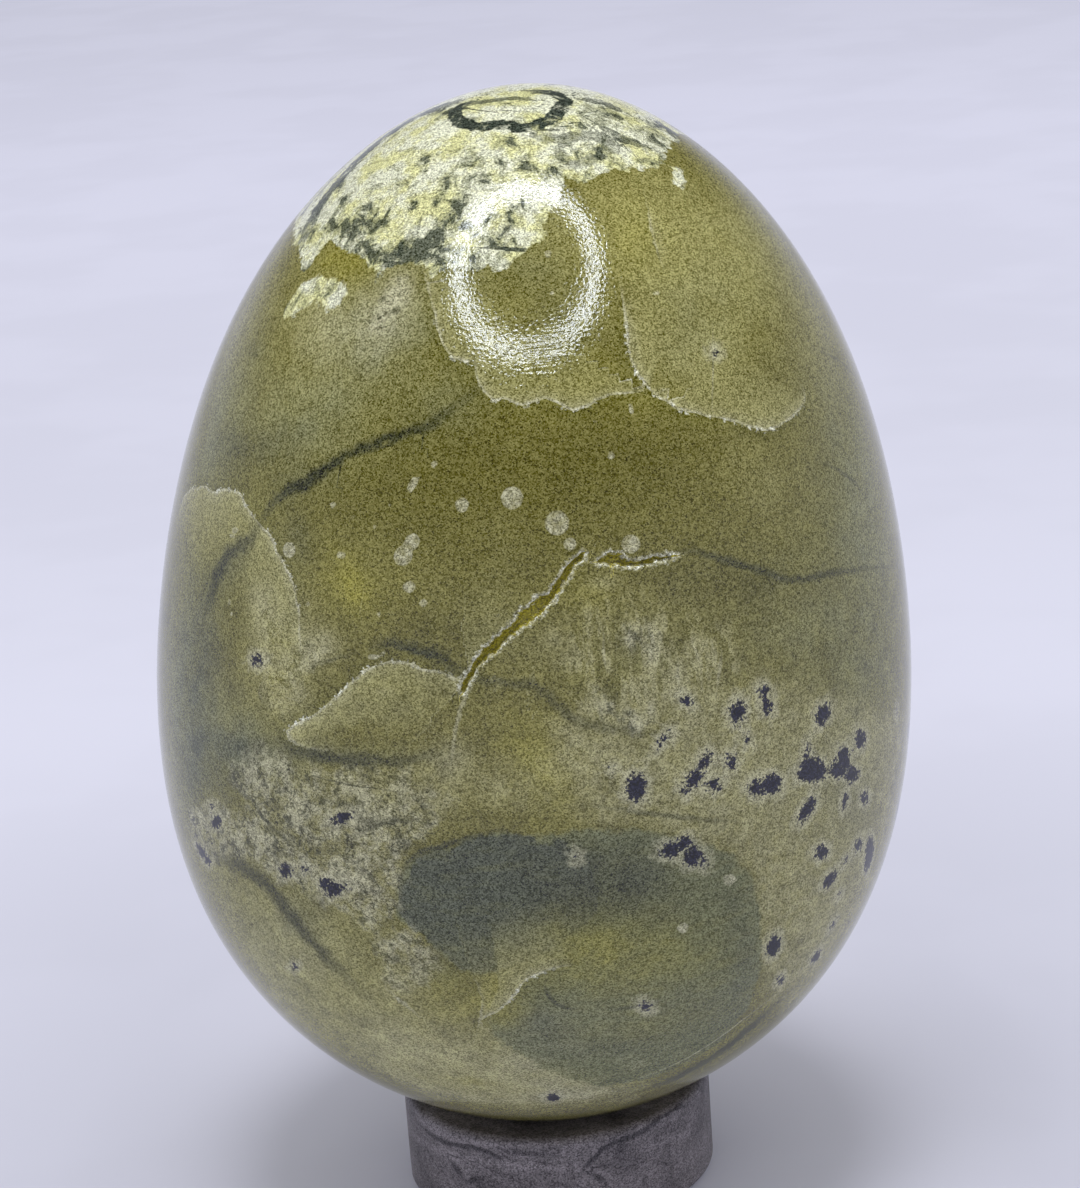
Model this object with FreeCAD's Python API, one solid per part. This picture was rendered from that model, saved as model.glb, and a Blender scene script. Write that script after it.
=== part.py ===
import FreeCAD, Part
import math
import os
from FreeCAD import Vector

# A solid polished stone egg that stands blunt end down, leaning a little, in a short
# stone ring. Millimetres. The origin is the centre of the ring's foot on the table,
# +Z is up, -Y is the front and +X is to the right of a viewer at the front.

# Egg
egg_length = 69.9
egg_waist_radius = 24.9          # radius half way along the egg
lean_angle = 4.0                 # degrees that the egg's axis leans to the right

# The egg's radius is that of an ellipse times 1 + a u + b u^2 + c u^3 + d u^4, where
# u runs from -1 at the blunt end to 1 at the narrow end.
egg_form_shares = (-0.134, 0.116, 0.029, -0.1105)
outline_steps = 40               # steps between the points that the outline is drawn through
outline_degree = 10
outline_tolerance = 0.01

# Ring
bore_diameter = 13.4
ring_wall = 3.95                 # thickness of the ring between its bore and its outside
ring_height = 7.1
rim_round = 0.6                  # rounding of the outer edges
seat_round = 0.9                 # rounding of the bore's upper edge, which the egg sits on
foot_chamfer = 0.5               # chamfer of the bore's lower edge
seat_gap = 0.1                   # clearance between the egg and its seat

# Open crack in the egg's front
crack_width = 0.75
crack_depth = 0.6

# Places along the crack: degrees to the right of the front, height as a share of the
# egg's half length from its middle, and width as a share of the crack's width.
main_crack_shares = (
    (-11.0, 0.078, 0.50),
    (-9.7, 0.110, 0.80),
    (-9.1, 0.124, 0.45),
    (-7.8, 0.152, 0.70),
    (-5.2, 0.185, 0.85),
    (-2.4, 0.226, 1.00),
    (-0.3, 0.240, 0.95),
    (1.3, 0.258, 0.55),
    (3.4, 0.280, 0.70),
    (5.2, 0.305, 0.60),
)
side_crack_shares = (
    (9.0, 0.301, 0.20),
    (10.4, 0.303, 0.95),
    (12.6, 0.292, 0.55),
    (15.2, 0.291, 0.40),
    (17.8, 0.298, 0.25),
)


def egg_radius(share, waist):
    """Radius of the egg at a height given as a share of its half length."""
    a, b, c, d = egg_form_shares
    form = 1 + a * share + b * share**2 + c * share**3 + d * share**4
    return waist * math.sqrt(1 - share**2) * form


def revolved(edges, first_angle, last_angle):
    """The solid that a closed outline in the plane of X and Z turns round the Z axis."""
    face = Part.Face(Part.Wire(edges))
    face.rotate(Vector(0, 0, 0), Vector(0, 0, 1), first_angle)
    return face.revolve(Vector(0, 0, 0), Vector(0, 0, 1), last_angle - first_angle)


def egg_solid(inset):
    """The egg about its own centre, with every size of its outline less by the inset."""
    half = egg_length / 2 - inset
    waist = egg_waist_radius - inset
    bottom = Vector(0, 0, -half)
    top = Vector(0, 0, half)
    angles = [math.pi * step / outline_steps for step in range(outline_steps + 1)]
    shares = [-math.cos(angle) for angle in angles[1:-1]]
    points = [Vector(egg_radius(share, waist), 0, half * share) for share in shares]
    outline = Part.BSplineCurve()
    outline.approximate(Points=[bottom] + points + [top], Parameters=angles,
                        DegMin=outline_degree, DegMax=outline_degree,
                        Tolerance=outline_tolerance)
    edges = [outline.toShape(), Part.LineSegment(top, bottom).toShape()]
    sides = [revolved(edges, start, start + 90) for start in (-135, -45, 45, 135)]
    return sides[0].fuse(sides[1:]).Solids[0]


def surface_point(azimuth, share):
    """Point on the egg at an azimuth from the front and a height share."""
    turn = math.radians(azimuth)
    radius = egg_radius(share, egg_waist_radius)
    height = egg_length / 2 * share
    return Vector(radius * math.sin(turn), -radius * math.cos(turn), height)


def crack_cutter(places, skin):
    """The part of the egg's skin that lies under one run of the crack."""
    points = [surface_point(azimuth, share) for azimuth, share, width in places]
    middle = points[len(points) // 2]
    outward = Vector(middle.x, middle.y, 0)
    outward.normalize()
    across = outward.cross(Vector(0, 0, 1))
    flat = []
    for point in points:
        flat.append(Vector(point.dot(across), point.z, 0))
    left = []
    right = []
    last = len(flat) - 1
    for index, (azimuth, share, width) in enumerate(places):
        along = flat[min(index + 1, last)].sub(flat[max(index - 1, 0)])
        along.normalize()
        side = Vector(-along.y, along.x, 0) * (width * crack_width / 2)
        left.append(flat[index].add(side))
        right.append(flat[index].sub(side))
    corners = left + right[::-1]
    outline = [across * corner.x + Vector(0, 0, corner.y) for corner in corners]
    face = Part.Face(Part.makePolygon(outline + [outline[0]]))
    return face.extrude(outward * egg_length).common(skin)


def egg():
    """The egg with its open crack, about its own centre."""
    whole = egg_solid(0)
    skin = whole.cut(egg_solid(crack_depth))
    cutters = [crack_cutter(main_crack_shares, skin), crack_cutter(side_crack_shares, skin)]
    return whole.cut(cutters).Solids[0]


def seat_sphere():
    """Height of the centre of the egg's blunt cap from its own centre, and its radius."""
    target = bore_diameter / 2 + seat_round / 2
    low, high = -1, egg_form_shares[0]
    while high - low > 1e-9:
        share = (low + high) / 2
        if egg_radius(share, egg_waist_radius) < target:
            low = share
        else:
            high = share
    step = 1e-6
    rise = egg_radius(share + step, egg_waist_radius) - egg_radius(share, egg_waist_radius)
    slope = rise / (step * egg_length / 2)
    centre = share * egg_length / 2 + target * slope
    return centre, target * math.hypot(1, slope)


def seated(shape):
    """The egg leaned and set down on the rounded edge of the bore."""
    centre, radius = seat_sphere()
    seat_radius = bore_diameter / 2 + seat_round
    reach = radius + seat_round + seat_gap
    height = ring_height - seat_round + math.sqrt(reach**2 - seat_radius**2)
    shape.translate(Vector(0, 0, height - centre))
    shape.rotate(Vector(0, 0, height), Vector(0, 1, 0), lean_angle)
    return shape


def quarter(middle, radius, start):
    """Quarter circle in the plane of X and Z, from the start angle on."""
    points = []
    for step in range(3):
        turn = math.radians(start + 45 * step)
        points.append(middle + Vector(math.cos(turn), 0, math.sin(turn)) * radius)
    return Part.Arc(*points).toShape()


def ring_stand():
    """Round stone ring with a bore, rounded outer edges and a rounded seat."""
    inner = bore_diameter / 2
    outer = inner + ring_wall
    low = Vector(outer - rim_round, 0, rim_round)
    high = Vector(outer - rim_round, 0, ring_height - rim_round)
    seat = Vector(inner + seat_round, 0, ring_height - seat_round)
    arcs = [quarter(low, rim_round, 270), quarter(high, rim_round, 0),
            quarter(seat, seat_round, 90)]
    foot = [Vector(inner, 0, foot_chamfer), Vector(inner + foot_chamfer, 0, 0)]
    ends = [arcs[0].Vertexes[-1].Point, arcs[1].Vertexes[0].Point]
    edges = [
        Part.LineSegment(foot[1], arcs[0].Vertexes[0].Point).toShape(),
        arcs[0],
        Part.LineSegment(*ends).toShape(),
        arcs[1],
        Part.LineSegment(arcs[1].Vertexes[-1].Point, arcs[2].Vertexes[0].Point).toShape(),
        arcs[2],
        Part.LineSegment(arcs[2].Vertexes[-1].Point, foot[0]).toShape(),
        Part.LineSegment(*foot).toShape(),
    ]
    return revolved(edges, 0, 360)


os.makedirs("parts", exist_ok=True)
pieces = {"egg": seated(egg()), "ring_stand": ring_stand()}
for name, shape in pieces.items():
    shape.exportStep("parts/" + name + ".step")
    box = shape.BoundBox
    print(name, shape.ShapeType, len(shape.Solids), "valid", shape.isValid(),
          "volume", round(shape.Volume, 1),
          "x", round(box.XMin, 2), round(box.XMax, 2),
          "y", round(box.YMin, 2), round(box.YMax, 2),
          "z", round(box.ZMin, 2), round(box.ZMax, 2))
gap = pieces["egg"].distToShape(pieces["ring_stand"])[0]
print("least gap between the egg and its seat", round(gap, 3))
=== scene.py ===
import math

import bmesh
import bpy
import numpy as np
from bpy.props import FloatProperty, FloatVectorProperty, IntProperty, PointerProperty
from mathutils import Matrix, Vector


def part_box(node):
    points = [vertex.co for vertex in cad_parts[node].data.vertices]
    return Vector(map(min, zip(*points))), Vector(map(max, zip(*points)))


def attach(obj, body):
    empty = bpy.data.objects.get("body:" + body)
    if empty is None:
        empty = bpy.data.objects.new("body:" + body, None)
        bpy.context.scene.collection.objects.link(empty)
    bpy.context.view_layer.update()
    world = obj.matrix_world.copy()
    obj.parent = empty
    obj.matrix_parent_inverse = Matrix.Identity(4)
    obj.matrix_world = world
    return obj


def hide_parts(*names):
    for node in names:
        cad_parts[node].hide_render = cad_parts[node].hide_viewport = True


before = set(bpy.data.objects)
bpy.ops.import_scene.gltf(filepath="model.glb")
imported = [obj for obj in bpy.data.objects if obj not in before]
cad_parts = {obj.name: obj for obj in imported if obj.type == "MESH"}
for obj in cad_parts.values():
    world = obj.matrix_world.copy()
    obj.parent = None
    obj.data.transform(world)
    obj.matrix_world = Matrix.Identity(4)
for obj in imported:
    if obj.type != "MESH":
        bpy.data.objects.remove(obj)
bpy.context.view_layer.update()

bl_info = {
    "name": "Polished stone egg",
    "version": (1, 0, 0),
    "blender": (4, 5, 0),
    "location": "3D View > Sidebar > Stone egg",
    "description": "Builds a polished stone egg in its ring stand, with a studio stage",
    "category": "Object",
}

MM = 0.001
TINY = 1e-9


def unit(vectors):
    """Vectors made one long."""
    return vectors / np.maximum(np.linalg.norm(vectors, axis=-1, keepdims=True), TINY)


def from_screen(red, green, blue):
    """Linear colour of a screen colour given from 0 to 255."""
    linear = []
    for part in (red, green, blue):
        share = part / 255
        low = share / 12.92
        high = ((share + 0.055) / 1.055) ** 2.4
        linear.append(low if share <= 0.04045 else high)
    return tuple(linear)


def length(name, about, value):
    return FloatProperty(name=name, description=about, default=value, unit="LENGTH",
                         subtype="DISTANCE", precision=5)


def angle(name, about, degrees):
    return FloatProperty(name=name, description=about, default=math.radians(degrees),
                         unit="ROTATION", subtype="ANGLE")


def number(name, about, value):
    return FloatProperty(name=name, description=about, default=value, min=0)


def colour(name, about, red, green, blue):
    return FloatVectorProperty(name=name, description=about, subtype="COLOR", size=3,
                               min=0, max=1, default=from_screen(red, green, blue))


# Sizes and colours that a user would change


class EggSizes(bpy.types.PropertyGroup):
    length: length("Length", "Length of the egg along its axis", 0.0699)
    waist: length("Waist radius", "Radius half way along the egg", 0.0249)
    lean: angle("Lean", "Lean of the egg's axis to the right", 4.0)
    crack_width: length("Crack width", "Widest opening of the crack", 0.00085)
    crack_depth: length("Crack depth", "Depth of the open crack", 0.0005)


class EggColours(bpy.types.PropertyGroup):
    olive: colour("Olive", "Main colour of the stone", 112, 108, 52)
    # Deep olive also paints the shadow just outside the flake edges.
    deep: colour("Deep olive", "Darker clouds in the olive", 96, 94, 38)
    shade: colour("Shade", "Colour that the darker washes multiply by", 205, 205, 196)
    # Light olive also paints light low on the front, next to the ring.
    light: colour("Light olive", "Lighter clouds in the olive", 146, 143, 92)
    cream: colour("Cream", "Cream crust over the narrow end", 208, 210, 187)
    cream_deep: colour("Yellow cream", "Yellower parts of the crust", 198, 198, 146)
    veil: colour("Veil", "Greyer veil over the olive", 126, 129, 97)
    vein: colour("Vein", "Soft dark veins", 62, 64, 38)
    grey: colour("Blue grey", "Darkest blue grey patches", 80, 85, 69)
    disc: colour("Grey green", "Grey green disc round the blue grey", 104, 108, 76)
    beige: colour("Beige", "Beige streaked zone", 153, 150, 108)
    # Pale also paints light low on the front, next to the ring, and part of the flake rims'
    # highlight.
    pale: colour("Pale", "Pale mottled zones and flake edges", 178, 176, 146)
    chip: colour("Chips", "White chips along edges", 218, 220, 202)
    spot: colour("Spots", "Navy mineral spots", 14, 16, 42)
    dark: colour("Dark green", "Dark green marks in the cream", 54, 62, 52)
    yellow: colour("Yellow", "Saturated yellow zones", 144, 139, 60)
    # The crack's colour is lifted above the stone's own: painted light that makes up for the shade
    # in the crack.
    crack: colour("Crack", "Bottom of the open crack", 150, 141, 8)


class RingSizes(bpy.types.PropertyGroup):
    wall: length("Wall", "Thickness of the ring's wall", 0.00395)
    rim_round: length("Rim rounding", "Rounding of the outer top edge", 0.0006)
    seat_round: length("Seat rounding", "Rounding that the egg rests on", 0.0009)
    foot_chamfer: length("Foot chamfer", "Chamfer of the edges at the foot", 0.0005)
    pits: IntProperty(name="Pits", description="Number of small pits", default=70, min=0)


class RingColours(bpy.types.PropertyGroup):
    stone: colour("Stone", "Main colour of the ring", 100, 95, 100)
    dark: colour("Dark vein", "Dark veins and pits", 58, 54, 60)
    light: colour("Light vein", "Pale veins", 132, 126, 132)


class StudioSettings(bpy.types.PropertyGroup):
    # Round the ring, at the front and far behind, the floor's tones are painted light and shade:
    # paler round the ring where the egg's shadow falls, darker at the front, lighter far behind.
    floor_ring_painted_light: colour("Floor at the ring", "Colour of the floor round the ring", 222, 223, 240)
    floor_near_painted_shade: colour("Near floor", "Colour of the floor further out in front", 195, 196, 212)
    floor: colour("Floor", "Colour of the floor behind the ring", 212, 213, 230)
    floor_far_painted_light: colour("Far floor", "Colour of the floor far behind", 232, 233, 253)
    backdrop: colour("Backdrop", "Colour behind the floor", 197, 198, 215)
    room: colour("Room", "Colour of the room low down, as the polish shows it", 205, 207, 228)
    distance: length("Distance", "From the camera to the egg's centre", 0.21333)
    elevation: angle("Elevation", "Angle that the camera looks down by", 18.0)
    light: number("Light", "Strength of the even light", 0.68)
    top_light: number("Top light", "Power in watts of the soft lamp overhead", 1.3)
    lamp_elevation: angle("Lamp elevation", "Height of the ring lamp over the front", 69.3)
    lamp_distance: length("Lamp distance", "From the egg's polish to the ring lamp", 0.25)
    lamp_radius: length("Lamp radius", "Middle radius of the ring lamp", 0.105)
    lamp_width: length("Lamp width", "Width of the ring lamp's band", 0.018)
    lamp_colour: colour("Lamp colour", "Cool white of the ring lamp", 238, 245, 255)
    lamp_strength: number("Lamp strength", "Brightness of the ring lamp", 21.0)


# The frame of the picture: its size, where the egg's centre shows, and its scale there

PICTURE_SIZE = (1080, 1188)
CENTRE_PIXEL = (534.1, 610.5)
PIXELS_PER_METRE = 15000
LAMP_PIXEL = (527, 275)

# The egg's radius is that of an ellipse times a polynomial of the height's share. Rays are
# followed a little past the egg's centre plane, which is 1 along them.

FORM_SHARES = (1, -0.134, 0.116, 0.029, -0.1105)
FARTHEST = 1.02

# Open crack: places in the picture, and width as a share of the crack's width

MAIN_CRACK = (
    (463, 690, 0.45), (472, 671, 0.35), (484, 656, 0.50), (498, 642, 0.62), (516, 626, 0.80),
    (531, 612, 1.00), (541, 603, 0.95), (550, 597, 0.45), (558, 586, 0.60), (566, 573, 0.50),
    (574, 563, 0.35), (582, 555, 0.35),
)
SIDE_CRACK = (
    (600, 563, 0.25), (607, 560, 0.55), (615, 558, 0.75), (623, 563, 0.45), (634, 564, 0.35),
    (643, 563, 0.30), (652, 560, 0.30), (663, 558, 0.20), (676, 556, 0.12),
)


class EggShape:
    """The egg's surface in the row frame, in metres."""

    def __init__(self, sizes, studio):
        self.half = sizes.length / 2
        self.waist = sizes.waist
        self.axis = np.array([math.sin(sizes.lean), 0, math.cos(sizes.lean)])
        self.right = np.array([math.cos(sizes.lean), 0, -math.sin(sizes.lean)])
        self.back = np.array([0.0, 1.0, 0.0])
        self.centre = self.seated_centre()
        self.aim_camera(studio)

    def radius(self, height_share):
        form = sum(part * height_share**power for power, part in enumerate(FORM_SHARES))
        return self.waist * np.sqrt(np.clip(1 - height_share**2, 0, None)) * form

    def seated_centre(self):
        """Centre that puts the egg's outline in the box of the solid egg."""
        low, high = (np.array(corner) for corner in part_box("egg"))
        shares = np.linspace(-1, 1, 4001)
        along = np.outer(self.half * shares, self.axis)
        spread = np.outer(self.radius(shares), np.sqrt(1 - self.axis**2))
        middle = ((along + spread).max(0) + (along - spread).min(0)) / 2
        return (low + high) / 2 - middle

    def aim_camera(self, studio):
        """Camera at the egg's front, rolled so that the egg's axis looks upright."""
        down = studio.elevation
        self.look = np.array([0, math.cos(down), -math.sin(down)])
        self.eye = self.centre - self.look * studio.distance
        level = np.array([1.0, 0, 0])
        upright = np.cross(level, self.look)
        roll = math.atan2(self.axis @ level, self.axis @ upright)
        self.picture_up = upright * math.cos(roll) + level * math.sin(roll)
        self.picture_right = level * math.cos(roll) - upright * math.sin(roll)
        self.focal = studio.distance * PIXELS_PER_METRE

    def local(self, points):
        """Coordinates about the egg's centre, the third along its axis."""
        turned = np.stack([self.right, self.back, self.axis], 1)
        return (points - self.centre) @ turned

    def inside(self, points):
        """Whether each point is in the egg."""
        x, y, z = np.moveaxis(self.local(points), -1, 0)
        height_share = z / self.half
        return np.hypot(x, y) < self.radius(np.clip(height_share, -1, 1))

    def rays(self, pixels):
        """Directions through pixels, as long as the way to the egg's centre plane."""
        across = (pixels[:, 0] - CENTRE_PIXEL[0]) / PIXELS_PER_METRE
        down = (pixels[:, 1] - CENTRE_PIXEL[1]) / PIXELS_PER_METRE
        distance = self.focal / PIXELS_PER_METRE
        return (self.look * distance + np.multiply.outer(across, self.picture_right)
                - np.multiply.outer(down, self.picture_up))

    def first_hit(self, pixels, steps=240, halvings=16):
        """Where the rays meet the egg, and whether they do."""
        rays = self.rays(pixels)
        near = 1 - self.half / (self.focal / PIXELS_PER_METRE)
        depths = np.linspace(near, FARTHEST, steps)
        hits = self.inside(self.eye + rays[:, None] * depths[None, :, None])
        found = hits.any(1)
        index = np.maximum(hits.argmax(1), 1)
        low, high = depths[index - 1], depths[index]
        for _ in range(halvings):
            middle = (low + high) / 2
            within = self.inside(self.eye + rays * middle[:, None])
            high = np.where(within, middle, high)
            low = np.where(within, low, middle)
        return self.eye + rays * high[:, None], found

    def seen(self, pixels, halvings=12):
        """Points of the surface that show at pixels. One beside the egg goes to its edge."""
        pixels = np.array(pixels, float)
        points, found = self.first_hit(pixels)
        if found.all():
            return points
        centre = np.array(CENTRE_PIXEL)
        beside = pixels[~found] - centre
        low = np.zeros(len(beside))
        high = np.ones(len(beside))
        for _ in range(halvings):
            middle = (low + high) / 2
            within = self.first_hit(centre + beside * middle[:, None])[1]
            low = np.where(within, middle, low)
            high = np.where(within, high, middle)
        points[~found] = self.first_hit(centre + beside * low[:, None])[0]
        return points

    def normals(self, points, step=0.0005, at_end=0.001 * MM):
        """Outward directions of the surface at points on it."""
        x, y, z = np.moveaxis(self.local(points), -1, 0)
        height_share = np.clip(z / self.half, -1, 1)
        above = np.clip(height_share + step, -1, 1)
        below = np.clip(height_share - step, -1, 1)
        slope = (self.radius(above) - self.radius(below)) / ((above - below) * self.half)
        out = np.hypot(x, y)
        reach = np.maximum(out, TINY)
        turned = np.stack([x / reach, y / reach, -slope], -1)
        turned[out < at_end] = (0, 0, 1)
        turned[(out < at_end) & (z < 0)] = (0, 0, -1)
        return unit(turned) @ np.stack([self.right, self.back, self.axis])

    def place(self, places):
        """Points at (degrees right of the front, height share) places."""
        places = np.array(places, float)
        angles, shares = np.radians(places[:, 0]), places[:, 1]
        radius = self.radius(shares)
        return (self.centre
                + np.outer(self.half * shares, self.axis)
                + np.outer(radius * np.sin(angles), self.right)
                - np.outer(radius * np.cos(angles), self.back))


# Markings. Points are pixels of the picture, or, in the tables of the back, degrees to
# the right of the front and the height's share of the half length.

# Cream crust on the narrow end, with its tail at the left and its patch in the highlight
CREAM_CAP = (
    (304, 268), (320, 251), (330, 242), (345, 250), (358, 250), (368, 265), (379, 277), (395, 266),
    (406, 262), (422, 267), (430, 282), (440, 272), (452, 268), (470, 268), (486, 262), (500, 262),
    (512, 254), (530, 246), (542, 234), (547, 214), (558, 206), (564, 190), (565, 177), (583, 180),
    (601, 176), (620, 168), (640, 172), (655, 166), (666, 152), (682, 134),
)
CREAM_CAP_BACK = (
    (105, 0.88), (120, 0.84), (135, 0.86), (150, 0.79), (165, 0.80), (178, 0.73), (190, 0.76),
    (205, 0.70), (218, 0.75), (232, 0.78), (245, 0.71), (258, 0.74), (272, 0.76), (284, 0.74),
)
CREAM_TAIL = (
    (283, 316), (290, 300), (302, 284), (316, 276), (334, 278), (346, 289), (340, 305), (330, 313),
    (318, 302), (302, 308), (290, 320),
)
CREAM_ISLAND = (
    (484, 250), (492, 264), (500, 271), (510, 264), (524, 254), (538, 246), (546, 232), (544, 222),
    (530, 214), (514, 216), (500, 228), (490, 240),
)
CREAM_CHIP = ((668, 180), (672, 168), (683, 170), (685, 184), (677, 190))

# Dark marks in the crust: half width in millimetres and strength, then the points
CRUST_LINES = (
    (0.60, 1.0, ((472, 103), (461, 106), (455, 112), (456, 118), (462, 123), (474, 126), (486, 126),
                 (505, 124), (518, 128), (532, 127), (546, 121), (554, 116), (561, 109), (565, 101),
                 (559, 95), (547, 92), (536, 91))),
    (0.35, 0.8, ((466, 105), (480, 102), (496, 100), (512, 98), (528, 99))),
    (0.60, 0.6, ((542, 137), (560, 140), (577, 136), (592, 135), (605, 140), (613, 148))),
    (0.45, 0.5, ((558, 150), (564, 160), (573, 166), (584, 163), (593, 157))),
    (0.50, 0.9, ((606, 129), (620, 138), (636, 143))),
    (0.60, 0.9, ((588, 100), (602, 102), (616, 108))),
    (0.40, 0.6, ((417, 225), (408, 240), (394, 256), (380, 273))),
    (0.80, 0.85, ((304, 238), (318, 208), (336, 184), (358, 160), (382, 139), (410, 120),
                  (434, 109), (452, 103))),
    (0.50, 0.9, ((660, 124), (680, 137), (700, 152), (722, 174))),
    (0.16, 0.9, ((490, 247), (508, 249), (526, 250), (546, 254))),
)
CRUST_LINES_BACK = (
    (0.35, 0.9, ((100, 0.93), (122, 0.92), (140, 0.89), (158, 0.90))),
    (0.30, 0.9, ((170, 0.97), (200, 0.95), (228, 0.95), (250, 0.97))),
    (0.40, 0.8, ((205, 0.86), (222, 0.88), (240, 0.85), (256, 0.88))),
    (0.30, 0.8, ((170, 0.84), (184, 0.86), (194, 0.82))),
)

# Dark clouds in the crust: place, half sizes, tilt and strength
CRUST_CLOUDS = (
    (350, 227, 20, 12, 15, 0.95), (366, 212, 16, 12, 0, 0.5), (345, 200, 12, 8, -20, 0.7),
    (602, 114, 22, 9, 8, 0.8), (594, 152, 20, 12, 10, 0.8), (470, 164, 18, 13, 0, 0.7),
    (426, 164, 7, 13, 10, 0.85), (415, 205, 7, 6, 0, 1.0), (458, 208, 12, 20, 0, 0.7),
    (436, 244, 36, 26, -10, 0.8), (400, 262, 20, 12, 0, 0.5), (510, 140, 8, 9, 0, 0.6),
    (527, 164, 14, 8, 0, 0.6), (545, 172, 14, 8, 0, 0.6), (502, 163, 6, 5, 0, 0.7),
    (480, 182, 16, 8, 0, 0.5), (370, 250, 14, 10, 0, 0.7), (318, 228, 10, 20, 30, 0.5),
    (366, 156, 12, 8, -40, 0.5), (398, 130, 16, 8, -30, 0.5), (440, 112, 14, 6, -10, 0.6),
    (640, 134, 18, 10, 30, 0.6), (662, 130, 18, 8, 30, 0.6), (575, 126, 16, 8, 0, 0.5),
    (520, 208, 16, 10, 0, 0.3), (500, 224, 18, 16, 0, 0.4), (556, 120, 10, 6, 0, 0.5),
    (398, 178, 8, 10, 0, 0.5), (372, 206, 9, 5, 0, 0.5), (330, 176, 8, 16, 40, 0.5),
    (440, 190, 9, 12, 0, 0.5), (384, 226, 8, 6, 0, 0.6), (495, 150, 9, 5, 0, 0.5),
)
CRUST_CLOUDS_BACK = (
    (128, 0.90, 3.0, 1.6, 0, 0.6), (176, 0.90, 3.2, 2.0, 20, 0.6), (214, 0.80, 3.4, 1.8, 0, 0.6),
    (246, 0.80, 2.6, 2.0, 30, 0.5), (150, 0.86, 2.0, 1.4, 0, 0.6), (268, 0.84, 2.4, 2.0, 0, 0.5),
)

# Edges of flakes inside the stone: lighter on the left of the line as it is followed, with a
# painted shadow on the right and a pale rim that is partly painted highlight.
# Each point has the strength of the edge there.
FLAKE_EDGES = (
    ((648, 214, 0.3), (651, 233, 0.6), (658, 256, 0.3), (664, 272, 0.0)),
    ((620, 288, 0.1), (624, 313, 0.6), (626, 332, 0.9), (628, 353, 1.0), (634, 369, 1.0),
     (644, 385, 1.0), (660, 399, 1.0), (678, 409, 1.0), (700, 415, 0.9), (722, 419, 0.9),
     (739, 423, 0.9), (754, 429, 1.0), (768, 431, 1.0), (783, 425, 0.9), (797, 414, 0.7),
     (805, 403, 0.5), (806, 392, 0.2), (800, 380, 0.0)),
    ((426, 282, 0.3), (431, 302, 0.5), (438, 332, 0.7), (441, 344, 0.7), (452, 357, 0.8),
     (465, 363, 0.8), (473, 362, 0.7), (477, 383, 0.7), (485, 395, 0.7), (494, 401, 0.8),
     (504, 399, 0.7), (511, 403, 0.7), (522, 405, 0.7), (534, 403, 0.7), (545, 398, 0.6),
     (558, 404, 0.8), (573, 411, 0.9), (588, 407, 0.8), (597, 400, 0.7), (610, 396, 0.6),
     (628, 394, 0.5), (650, 391, 0.3), (668, 386, 0.0)),
    ((306, 680, 0.0), (302, 650, 0.2), (300, 628, 0.7), (299, 608, 0.9), (294, 586, 1.0),
     (287, 568, 1.0), (277, 549, 1.0), (270, 532, 1.0), (262, 526, 0.8), (255, 518, 0.7),
     (246, 505, 0.8), (241, 493, 1.0), (228, 488, 1.0), (215, 492, 1.0), (205, 486, 1.0),
     (192, 488, 0.9), (184, 496, 0.6), (178, 515, 0.3), (174, 540, 0.0)),
    ((458, 690, 0.5), (470, 676, 0.8), (456, 678, 0.7), (443, 672, 0.7), (424, 669, 0.8),
     (411, 662, 0.8), (392, 660, 0.8), (371, 666, 0.9), (354, 678, 1.0), (333, 699, 1.0),
     (311, 716, 1.0), (285, 729, 1.0), (288, 738, 0.8), (300, 747, 0.6), (318, 751, 0.3),
     (340, 750, 0.0)),
    ((476, 984, 0.2), (482, 1000, 0.3), (478, 1022, 0.5), (500, 1010, 0.8), (518, 994, 0.9),
     (524, 982, 0.9), (545, 972, 0.8), (560, 968, 0.5), (575, 966, 0.0)),
)
FLAKE_EDGES_BACK = (
    ((102, 0.20, 0.0), (106, 0.30, 0.6), (113, 0.38, 0.9), (122, 0.36, 1.0), (131, 0.42, 1.0),
     (141, 0.38, 1.0), (150, 0.43, 0.8), (156, 0.52, 0.3), (158, 0.58, 0.0)),
    ((196, 0.02, 0.0), (204, -0.06, 0.6), (214, -0.09, 1.0), (224, -0.04, 1.0), (234, -0.08, 0.9),
     (243, 0.00, 0.8), (248, 0.10, 0.4), (250, 0.18, 0.0)),
    ((172, 0.30, 0.0), (180, 0.22, 0.7), (191, 0.20, 0.9), (200, 0.25, 0.9), (209, 0.23, 0.6),
     (216, 0.30, 0.0)),
)

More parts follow.
